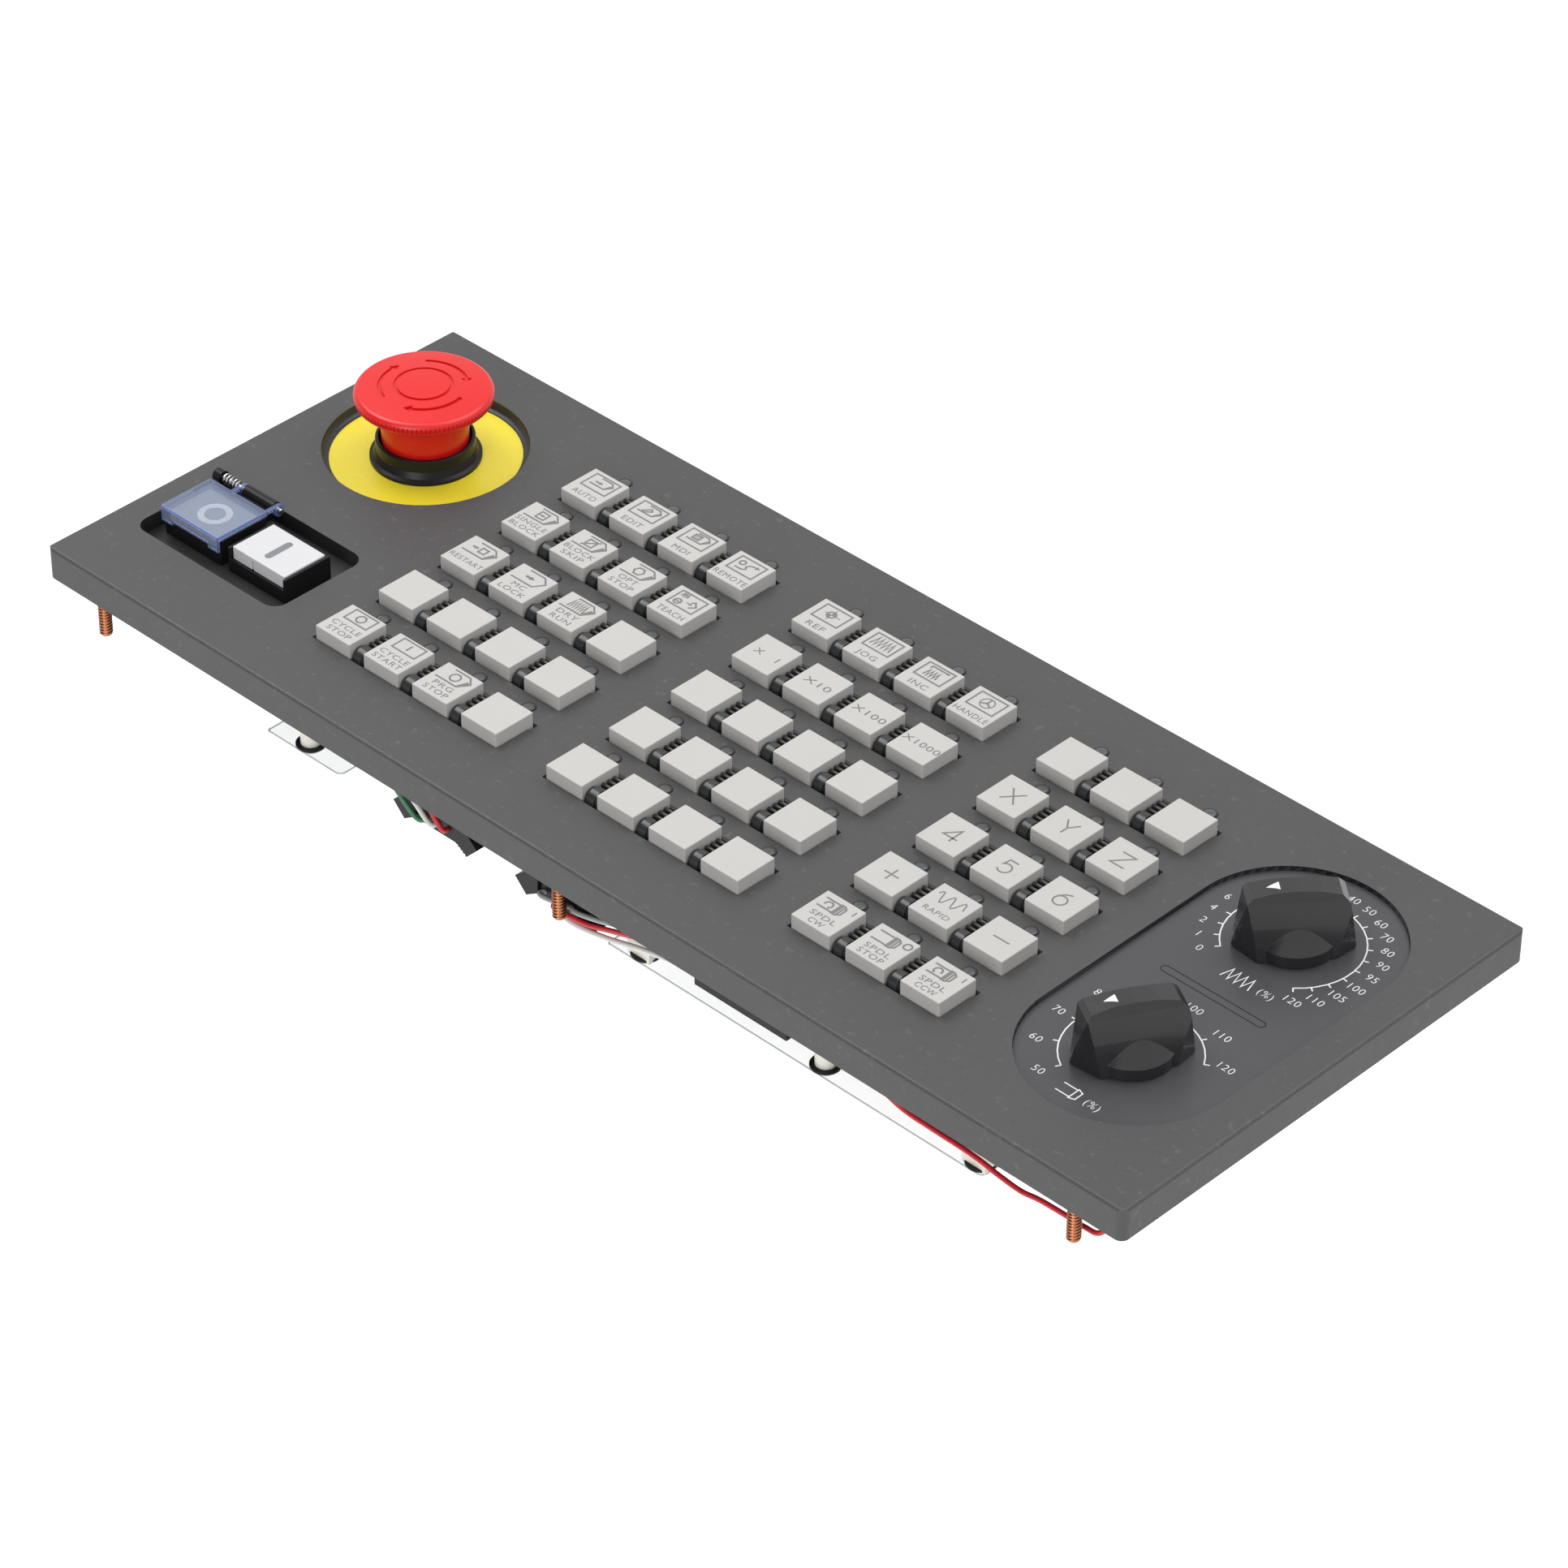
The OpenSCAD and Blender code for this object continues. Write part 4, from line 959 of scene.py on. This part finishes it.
@dataclass
class KeyField:
    """The 55 keys, their legends, guides and lamps."""

    shop: Workshop
    left: float = -114.4
    bottom: float = -54.3
    pitch_x: float = 19.13
    pitch_y: float = 23.18
    group_step: float = 90.0
    columns: tuple[int, ...] = (4, 4, 3)
    rows: int = 5
    width: float = 13.5
    depth: float = 13.8
    top: float = 14.3
    lamp_ahead: float = 11.6
    lamp_floor: float = 10.26
    lamp_radius: float = 1.65
    lamp_sides: int = 20
    word_middle: float = 7.0

    def place(self, group: int, column: int, row: int) -> tuple[float, float]:
        """Low left corner of a key."""
        return (self.left + self.group_step * group + self.pitch_x * column, self.bottom + self.pitch_y * row)

    def build(self) -> None:
        """Dresses the keys, writes their legends and sets the lamp lenses."""
        self.shop.dress("key_guides", GUIDE)
        self.shop.dress("lamp_windows", LAMP)
        self.shop.dress("key_switches", BLACK)
        self.shop.dress("spare_keys", KEY, 0.3, 3)
        for legend in LEGENDS:
            self.shop.dress("key_" + legend.key, KEY, 0.3, 3)
            ink = Ink(self.top)
            SignWriter(ink).draw(legend.sign)
            for text, foot, height, width in legend.lines:
                ink.words(text, self.word_middle, foot, height, width)
            mesh = ink.mesh("legend_" + legend.key, self.place(legend.group, legend.column, legend.row))
            self.shop.piece("legend_" + legend.key, mesh, INK, "key_" + legend.key)
        self._lenses()

    def _lenses(self) -> None:
        """Builds the small domed lens in each lamp window."""
        bm = bmesh.new()
        for g, cols in enumerate(self.columns):
            for c in range(cols):
                for r in range(self.rows):
                    x, y = self.place(g, c, r)
                    self._dome(bm, x + self.width / 2, y + self.depth / 2 + self.lamp_ahead)
        mesh = to_mesh(bm, "lamp_lenses")
        smooth(mesh)
        self.shop.piece("lamp_lenses", mesh, EYE, "panel", "lamp_plastic")

    def _dome(self, bm: bmesh.types.BMesh, x: float, y: float) -> None:
        """Adds one lens as rings that rise to a low crown."""
        profile = [(0.0, self.lamp_radius), (0.05, self.lamp_radius - 0.06), (0.09, 0.9), (0.11, 0.35)]
        revolve(bm, profile, (x, y, self.lamp_floor), self.lamp_sides)


@dataclass
class DialPair:
    """The dial plate, its print and the two pointer knobs."""

    shop: Workshop
    x: float = 160.0
    feed_y: float = 32.7
    spindle_y: float = -29.6
    feed_start: float = -130.0
    spindle_start: float = -120.0
    level: float = 8.6
    tick: float = 1.5
    number_radius: float = 24.2
    number_height: float = 2.6
    line: float = 0.4
    feed_marks: tuple[int, ...] = (0, 1, 2, 4, 6, 8, 10, 15, 20, 30, 40, 50, 60, 70, 80, 90,
                                   95, 100, 105, 110, 120)
    spindle_marks: tuple[int, ...] = (50, 60, 70, 80, 90, 100, 110, 120)

    def build(self) -> None:
        """Dresses the plate and knobs, and prints the dials."""
        self.shop.dress("dial_plate", FILM)
        self.shop.dress("rotary_switches", SWITCH)
        for knob, y, turn in (("feed_knob", self.feed_y, self.feed_start),
                              ("spindle_knob", self.spindle_y, self.spindle_start)):
            self.shop.dress(knob, KNOB, 0.35, 3)
            self._pointer(knob, y, turn)
        ink = Ink(self.level, weight=-0.012)
        self._dial(ink, self.feed_y, 18.9, self.feed_marks, self.feed_start, -14.0)
        self._dial(ink, self.spindle_y, 18.45, self.spindle_marks, self.spindle_start, -30.0)
        self._feed_icon(ink)
        self._spindle_icon(ink)
        self.shop.piece("dial_print", ink.mesh("dial_print"), WHITE_INK, "panel")
        slot = Ink(self.level)
        y, r, x0, x1 = 1.55, 1.2, 143.9, 175.8
        outline = [polar(x1, y, r, a) for a in range(-90, 91, 15)]
        outline += [polar(x0, y, r, a) for a in range(90, 271, 15)]
        slot.stroke(outline, 0.3, closed=True)
        self.shop.piece("plate_slot_line", slot.mesh("plate_slot_line"), BLACK, "panel", "plate_film")

    def _dial(self, ink: Ink, y: float, radius: float, marks: tuple[int, ...], first: float,
              step: float) -> None:
        """Prints one arc with its ticks and numbers.

        Args:
            ink: The print.
            y: The dial's middle.
            radius: The arc's radius.
            marks: The numbers.
            first: The angle of the first mark.
            step: The angle between marks.
        """
        last = first + step * (len(marks) - 1)
        ink.ring(self.x, y, radius, self.line, first, last)
        for i, mark in enumerate(marks):
            angle = first + step * i
            tick = [polar(self.x, y, reach, angle) for reach in (radius - 0.1, radius + self.tick)]
            ink.stroke(tick, self.line)
            px, py = polar(self.x, y, self.number_radius, angle)
            ink.words(str(mark), px, py - self.number_height / 2, self.number_height)

    def _feed_icon(self, ink: Ink) -> None:
        """Zigzag and percent sign under the feed dial."""
        x, y = self.x, self.feed_y - 21.2
        ink.stroke([(x - 4.6 + 1.15 * i, y + (2.2 if i % 2 else -2.2)) for i in range(9)], 0.36)
        ink.words("(%)", x + 9.0, y - 1.3, 2.6)

    def _spindle_icon(self, ink: Ink) -> None:
        """Spindle sign and percent sign under the spindle dial."""
        x, y = self.x + 0.4, self.spindle_y - 21.9
        for dy in (-1.7, 1.7):
            ink.stroke([(x - 4.6, y + dy), (x, y + dy)], 0.36)
        ink.stroke([(x, y - 2.1), (x + 1.7, y - 1.5), (x + 1.7, y + 1.5), (x, y + 2.1)], 0.36, closed=True)
        ink.words("(%)", x + 6.4, y - 1.3, 2.6)

    def _pointer(self, body: str, y: float, turn: float) -> None:
        """Sets the white triangle into the top of a knob.

        Args:
            body: The knob's body.
            y: The knob's axis.
            turn: The knob's angle at rest.
        """
        rise, sink = 0.04, 0.2
        # Distance from the axis, half width and height, from the broad end to the point.
        rows = [(4.6, 1.55, 27.13), (6.0, 0.91, 27.1), (8.0, 0.04, 26.735)]
        bm = bmesh.new()
        top, low = [], []
        for u, half, z in rows:
            for v in (-half, half):
                px, py = polar(0, 0, math.hypot(u, v), turn + math.degrees(math.atan2(v, u)))
                top.append(bm.verts.new(Vector((self.x + px, y + py, z + rise)) * MM))
                low.append(bm.verts.new(Vector((self.x + px, y + py, z - sink)) * MM))
        for a in (0, 2):
            bm.faces.new([top[a], top[a + 2], top[a + 3], top[a + 1]])
            bm.faces.new([low[a + 1], low[a + 3], low[a + 2], low[a]])
        rim = [0, 2, 4, 5, 3, 1]
        for a, b in zip(rim, rim[1:] + rim[:1]):
            bm.faces.new([low[a], low[b], top[b], top[a]])
        bmesh.ops.recalc_face_normals(bm, faces=bm.faces)
        self.shop.piece(body + "_pointer", to_mesh(bm, body + "_pointer"), WHITE_INK, body)


@dataclass
class PowerSwitches:
    """ON and OFF buttons in their housings, with the hinged guard."""

    shop: Workshop
    on_x: float = -148.7
    off_x: float = -175.2
    y: float = -36.8
    on_top: float = 13.4
    off_top: float = 12.8

    def build(self) -> None:
        """Dresses the switches and marks the lenses."""
        self.shop.dress("power_housings", BLACK, 0.2, 2)
        self.shop.dress("on_button", WHITE_LENS, 0.35, 3)
        self.shop.dress("off_button", GREY_LENS, 0.35, 3)
        self.shop.dress("off_guard", GUARD, 0.3, 2, GUARD_EDGE)
        self.shop.dress("guard_hinge_pin", STEEL)
        self.shop.dress("guard_spring", STEEL)
        ink = Ink(self.on_top)
        outline = [polar(self.on_x, self.y + 3.75, 1.15, a) for a in range(0, 181, 15)]
        outline += [polar(self.on_x, self.y - 3.75, 1.15, a) for a in range(180, 361, 15)]
        ink.fill(outline)
        self.shop.piece("on_mark", ink.mesh("on_mark"), BAR_INK, "on_button")
        ring = Ink(self.off_top)
        ring.ring(self.off_x, self.y, 4.05, 1.9)
        self.shop.piece("off_mark", ring.mesh("off_mark"), WHITE_INK, "off_button")


@dataclass
class StopButton:
    """Emergency stop: head, collar, ground plate and contact block."""

    shop: Workshop

    def build(self) -> None:
        """Dresses the emergency stop."""
        self.shop.dress("stop_ground_plate", YELLOW)
        self.shop.dress("stop_collar", BLACK)
        self.shop.dress("stop_head", RED)
        self.shop.dress("stop_plunger", NYLON)
        self.shop.dress("stop_contact_block", SWITCH, 0.4, 2)


@dataclass
class RearFit:
    """What stands behind the panel: board, covers, spacers, studs and connectors."""

    shop: Workshop
    stud_x: tuple[float, ...] = (-181.2, 0.0, 181.2)
    stud_y: tuple[float, ...] = (-73.5, 73.5)
    stud_radius: float = 1.94
    stud_low: float = -12.6
    stud_high: float = 0.5
    insert_high: float = 6.2
    insert_radius: float = 2.64
    insert_low: float = 0.02
    thread_pitch: float = 1.0
    thread_depth: float = 0.5
    tip_radius: float = 1.35
    sides: int = 28
    steps: int = 7
    cover_face: float = -17.0
    bosses: tuple[tuple[float, float], ...] = (
        (-107, -64.3), (23, -64.3), (88, -64.3), (142, -64.3), (-107, 65), (23, 65), (88, 65), (142, 65))

    def build(self) -> None:
        """Dresses the rear and builds threads, washers and rivet heads."""
        self.shop.dress("key_board", BOARD)
        self.shop.dress("rear_covers", CLEAR, 0.3, 1, CLEAR_EDGE)
        self.shop.dress("nylon_spacers", NYLON, 0.25, 2)
        self.shop.dress("ribbon_headers", BLACK, 0.15, 2)
        bm = bmesh.new()
        for x in self.stud_x:
            for y in self.stud_y:
                self._thread(bm, x, y)
                revolve(bm, [(self.insert_low, self.insert_radius), (self.insert_high, self.insert_radius)],
                        (x, y, 0.0), self.sides)
        mesh = to_mesh(bm, "threaded_studs")
        smooth(mesh)
        studs = self.shop.piece("threaded_studs", mesh, COPPER, "panel", "copper_plate")
        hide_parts("mounting_studs")
        self._washers()

    def _thread(self, bm: bmesh.types.BMesh, x: float, y: float) -> None:
        """Adds one stud with a helical thread and a chamfered end.

        Args:
            bm: The mesh to add to.
            x: The stud's place along X.
            y: The stud's place along Y.
        """
        count = int((self.stud_high - self.stud_low) / self.thread_pitch * self.steps)
        rings = []
        for n in range(count + 1):
            z = self.stud_low + (self.stud_high - self.stud_low) * n / count
            ring = []
            for i in range(self.sides):
                phase = (z / self.thread_pitch - i / self.sides) % 1.0
                ridge = max(0.0, min(1.0, 1.25 - abs(phase - 0.5) * 2.5))
                r = self.stud_radius - self.thread_depth * (1.0 - ridge)
                r = min(r, self.tip_radius + z - self.stud_low)
                ring.append(bm.verts.new(Vector((*polar(x, y, r, 360 * i / self.sides), z)) * MM))
            rings.append(ring)
        skin(bm, rings)

    def _washers(self) -> None:
        """Builds a black washer inside the cover round each spacer, and a rivet head outside."""
        washers, heads = bmesh.new(), bmesh.new()
        for x, y in self.bosses:
            self._ring(washers, x, y, 2.95, 4.3, self.cover_face + 0.02, self.cover_face + 0.9)
            dome = [(-0.75, 1.0), (-0.6, 1.9), (-0.25, 2.5), (-0.02, 2.6)]
            revolve(heads, dome, (x, y, self.cover_face - 1.22), 24)
        for name, bm, finish, slot in (("cover_washers", washers, BLACK, "black_plastic"),
                                       ("rivet_heads", heads, NYLON, "nylon")):
            self.shop.piece(name, to_mesh(bm, name), finish, "panel", slot)

    def _ring(self, bm: bmesh.types.BMesh, x: float, y: float, r0: float, r1: float, z0: float,
              z1: float) -> None:
        """Adds a flat washer with a small chamfer."""
        section = [(r0, z0), (r1 - 0.15, z0), (r1, z0 + 0.15), (r1, z1 - 0.15), (r1 - 0.15, z1), (r0, z1)]
        skin(bm, [circle(bm, (x, y), r, z, 32) for r, z in section], looped=True)


@dataclass(frozen=True)
class Wire:
    """One wire: its name, its colour and its route."""

    name: str
    colour: str
    route: tuple[Point, ...]


LEFT_ROUTES = (
    ((-137.9, -37, -12), (-133, -40, -11), (-131, -52, -8.6), (-128.5, -64, -3.6), (-120, -71.2, -0.2),
     (-100, -71.8, 0.6), (-80, -71.8, 0.6), (-70, -71.5, -1), (-65, -70.8, -7), (-61, -70.4, -11),
     (-58.4, -70.2, -12.9), (-57, -69.6, -13.3), (-57, -67.9, -13.4)),
    ((-137.9, -33, -8), (-131, -38, -6), (-129.5, -54, -3.4), (-127, -65, 0.6), (-118, -72, 2.6),
     (-100, -72.4, 3.2), (-80, -72.4, 3.2), (-68, -71.8, 2.6), (-62, -71.2, -3.4), (-57, -70.6, -8.6),
     (-54, -70.3, -11.6), (-52.6, -69.7, -12.6), (-52.5, -67.9, -12.8)),
    ((-146.3, 24, -14), (-140, 20, -10), (-134, 8, -4), (-131, -10, -1), (-130, -30, -0.6),
     (-129.4, -50, 0.6), (-127, -62, 3.5), (-121, -70.5, 5), (-110, -73, 5.6), (-80, -73, 5.6),
     (-66, -72.4, 5), (-59, -71.6, 0), (-53, -70.9, -5.4), (-49.8, -70.6, -9.4),
     (-48.3, -69.9, -11.8), (-48, -67.9, -12.2)),
)
RIGHT_ROUTES = (
    ((-1, -67.9, -14.2), (-1.7, -69.6, -14.7), (-0.6, -70.3, -15.2), (3, -70.3, -15.4),
     (9, -70.4, -14.4), (17, -70.6, -12.4), (27, -70.8, -9.4), (38, -70.2, -7.4), (46.9, -68.7, -6.5)),
    ((-5.5, -67.9, -13.8), (-6.3, -69.6, -14.2), (-5, -70.2, -14.3), (-1, -70.1, -14.1),
     (7, -70.4, -12.8), (16, -70.8, -9.6), (27, -72, -5), (38, -72.6, -0.5), (50, -72.8, 1.4),
     (80, -72.8, 1.6), (100, -72.4, 0), (112, -71.4, -4.6), (121, -70.6, -8.3), (131, -70.4, -9),
     (141, -70.4, -9.2), (147, -70.6, -9.4), (153, -70.4, -10.6), (160.6, -70.3, -11.4),
     (167, -70.2, -10.6), (175, -69.6, -11), (181.2, -69.2, -11.4), (186, -69.2, -10.2),
     (188, -65, -6.5), (185, -54, -4), (180, -42, -6), (172.6, -33, -9)),
    ((-10.5, -67.9, -12.7), (-11.4, -69.6, -12.9), (-10.4, -70.2, -12.9), (-8, -70.3, -12.6),
     (-3, -69.9, -12), (0, -69.35, -11.6), (3, -70.2, -11.2), (12, -71, -8.4), (22, -72.2, -4),
     (34, -72.6, 1), (46, -72.6, 4), (90, -72.6, 4.4), (140, -72.6, 4.2), (158, -70, 3), (168, -62, 0), (176, -48, -2),
     (176.5, -20, -3), (176.5, 8, -4), (172.6, 26, -9)),
)


@dataclass
class Wiring:
    """The signal wires behind the near rim."""

    shop: Workshop
    radius: float = 0.75
    wires: tuple[Wire, ...] = (
        Wire("lead_green", "green", LEFT_ROUTES[0]),
        Wire("lead_white", "white", LEFT_ROUTES[1]),
        Wire("lead_red", "red", LEFT_ROUTES[2]),
        Wire("tail_white", "white", RIGHT_ROUTES[0]),
        Wire("tail_red", "red", RIGHT_ROUTES[1]),
        Wire("tail_grey", "grey", RIGHT_ROUTES[2]),
    )

    def build(self) -> None:
        """Builds each wire as a round curve along its route."""
        made = [self._wire(w) for w in self.wires]
        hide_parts("signal_wires")

    def _wire(self, wire: Wire) -> bpy.types.Object:
        """Builds one wire and returns its object."""
        curve = bpy.data.curves.new(wire.name, "CURVE")
        curve.dimensions = "3D"
        curve.bevel_depth = self.radius * MM
        curve.bevel_resolution = 3
        curve.use_fill_caps = True
        points = self._smooth(wire.route)
        spline = curve.splines.new("POLY")
        spline.points.add(len(points) - 1)
        for target, p in zip(spline.points, points):
            target.co = (p.x * MM, p.y * MM, p.z * MM, 1.0)
        return self.shop.piece(wire.name, curve, WIRES[wire.colour], "panel", "wire_jacket")

    def _smooth(self, route: Sequence[Point]) -> list[Vector]:
        """Points of a smooth curve through the route."""
        pts = [Vector(p) for p in route]
        out = []
        for i in range(len(pts) - 1):
            a, b, c, d = pts[max(0, i - 1)], pts[i], pts[i + 1], pts[min(len(pts) - 1, i + 2)]
            for s in range(6):
                t = s / 6
                out.append(0.5 * (2 * b + (c - a) * t + (2 * a - 5 * b + 4 * c - d) * t * t
                                  + (3 * b - a - 3 * c + d) * t ** 3))
        return out + [pts[-1]]


@dataclass
class Studio:
    """Floor, lights and camera."""

    floor_level: float = -0.7
    floor_size: float = 80.0
    surround: float = 0.78
    flag: tuple[float, float, float] = (-0.57, -0.6, 0.56)
    flag_edge: float = 0.8
    flag_heart: float = 0.96
    flag_light: float = 0.03
    eye: tuple[float, float, float] = (0.9077, -0.9291, 0.9743)
    azimuth: float = 44.0015
    elevation: float = 37.1073
    roll: float = 0.3742
    lens: float = 139.3

    def build(self, shop: Workshop) -> None:
        """Sets the floor, the lights, the world and the camera."""
        scene = bpy.context.scene
        scene.view_settings.view_transform = "Standard"
        self._floor(shop)
        self._surround()
        self._lights()
        self._camera()

    def _floor(self, shop: Workshop) -> None:
        """Lays the pale floor."""
        h = self.floor_size / 2
        mesh = bpy.data.meshes.new("studio_floor")
        mesh.from_pydata([(-h, -h, 0), (h, -h, 0), (h, h, 0), (-h, h, 0)], [], [(0, 1, 2, 3)])
        floor = bpy.data.objects.new("studio_floor", mesh)
        floor.location.z = self.floor_level
        bpy.context.scene.collection.objects.link(floor)
        paper = Finish("floor_paper", (0.95, 0.95, 0.95), 0.8, mottle=0.01, mottle_size=2000.0,
                       grain_size=50.0, grain_depth=0.0, glow=0.3)
        mesh.materials.append(shop.material(paper))

    def _surround(self) -> None:
        """Sets a white surround with one dark flag to the left and front."""
        world = bpy.data.worlds.new("studio_world")
        world.use_nodes = True
        tree = world.node_tree
        coords = tree.nodes.new("ShaderNodeTexCoord")
        toward = tree.nodes.new("ShaderNodeVectorMath")
        toward.operation = "DOT_PRODUCT"
        toward.inputs[1].default_value = self.flag
        fade = tree.nodes.new("ShaderNodeMapRange")
        fade.inputs["From Min"].default_value = self.flag_edge
        fade.inputs["From Max"].default_value = self.flag_heart
        fade.inputs["To Min"].default_value = self.surround
        fade.inputs["To Max"].default_value = self.flag_light
        tree.links.new(coords.outputs["Generated"], toward.inputs[0])
        tree.links.new(toward.outputs["Value"], fade.inputs["Value"])
        tree.links.new(fade.outputs[0], tree.nodes["Background"].inputs["Strength"])
        tree.nodes["Background"].inputs["Color"].default_value = (1.0, 1.0, 1.0, 1.0)
        bpy.context.scene.world = world

    def _lights(self) -> None:
        """Hangs the soft boxes."""
        for name, place, aim, size, power in (
                ("key_box", (-0.8, -0.1, 1.15), (0, 0, 0), 0.8, 9.0),
                ("top_box", (0.3, 0.9, 1.7), (0, 0, 0), 1.4, 14.0),
                ("front_box", (0.5, -1.6, 0.6), (0, 0, 0), 0.8, 9.0)):
            data = bpy.data.lights.new(name, "AREA")
            data.size = size
            data.energy = power
            lamp = bpy.data.objects.new(name, data)
            lamp.location = place
            lamp.rotation_euler = (Vector(aim) - Vector(place)).to_track_quat("-Z", "Y").to_euler()
            bpy.context.scene.collection.objects.link(lamp)

    def _camera(self) -> None:
        """Places the camera."""
        a, e, r = (math.radians(v) for v in (self.azimuth, self.elevation, self.roll))
        back = Vector((math.sin(a) * math.cos(e), -math.cos(a) * math.cos(e), math.sin(e)))
        right = Vector((math.cos(a), math.sin(a), 0))
        up = back.cross(right)
        right2 = math.cos(r) * right + math.sin(r) * up
        up2 = -math.sin(r) * right + math.cos(r) * up
        data = bpy.data.cameras.new("camera")
        data.lens = self.lens
        data.sensor_width = 36.0
        data.clip_start = 0.05
        camera = bpy.data.objects.new("camera", data)
        axes = Matrix((right2, up2, back)).transposed().to_4x4()
        camera.matrix_world = Matrix.Translation(Vector(self.eye)) @ axes
        bpy.context.scene.collection.objects.link(camera)
        bpy.context.scene.camera = camera


# Boxes, low and high corners in millimetres, round the recesses whose faces get the painted shade.
SHADED_RECESSES = (
    ((-190.8, -53.9, 4.9), (-131.8, -19.6, 9.95)),
    ((-191.3, 0.5, 6.9), (-131.4, 60.3, 9.95)),
    ((130.0, -59.6, 8.7), (190.0, 62.7, 9.95)),
)


def main() -> None:
    """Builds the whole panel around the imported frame."""
    logging.basicConfig(level=logging.INFO, format="%(name)s: %(message)s")
    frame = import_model()
    shop = Workshop(frame)
    Studio().build(shop)
    panel = shop.dress("front_panel", PANEL)
    # Paints shade into the recesses with the darker copy of the panel plastic.
    for low, high in SHADED_RECESSES:
        shop.tint(panel, RECESS_SHADE, low, high)
    KeyField(shop).build()
    DialPair(shop).build()
    PowerSwitches(shop).build()
    StopButton(shop).build()
    RearFit(shop).build()
    Wiring(shop).build()


if __name__ == "__main__":
    main()
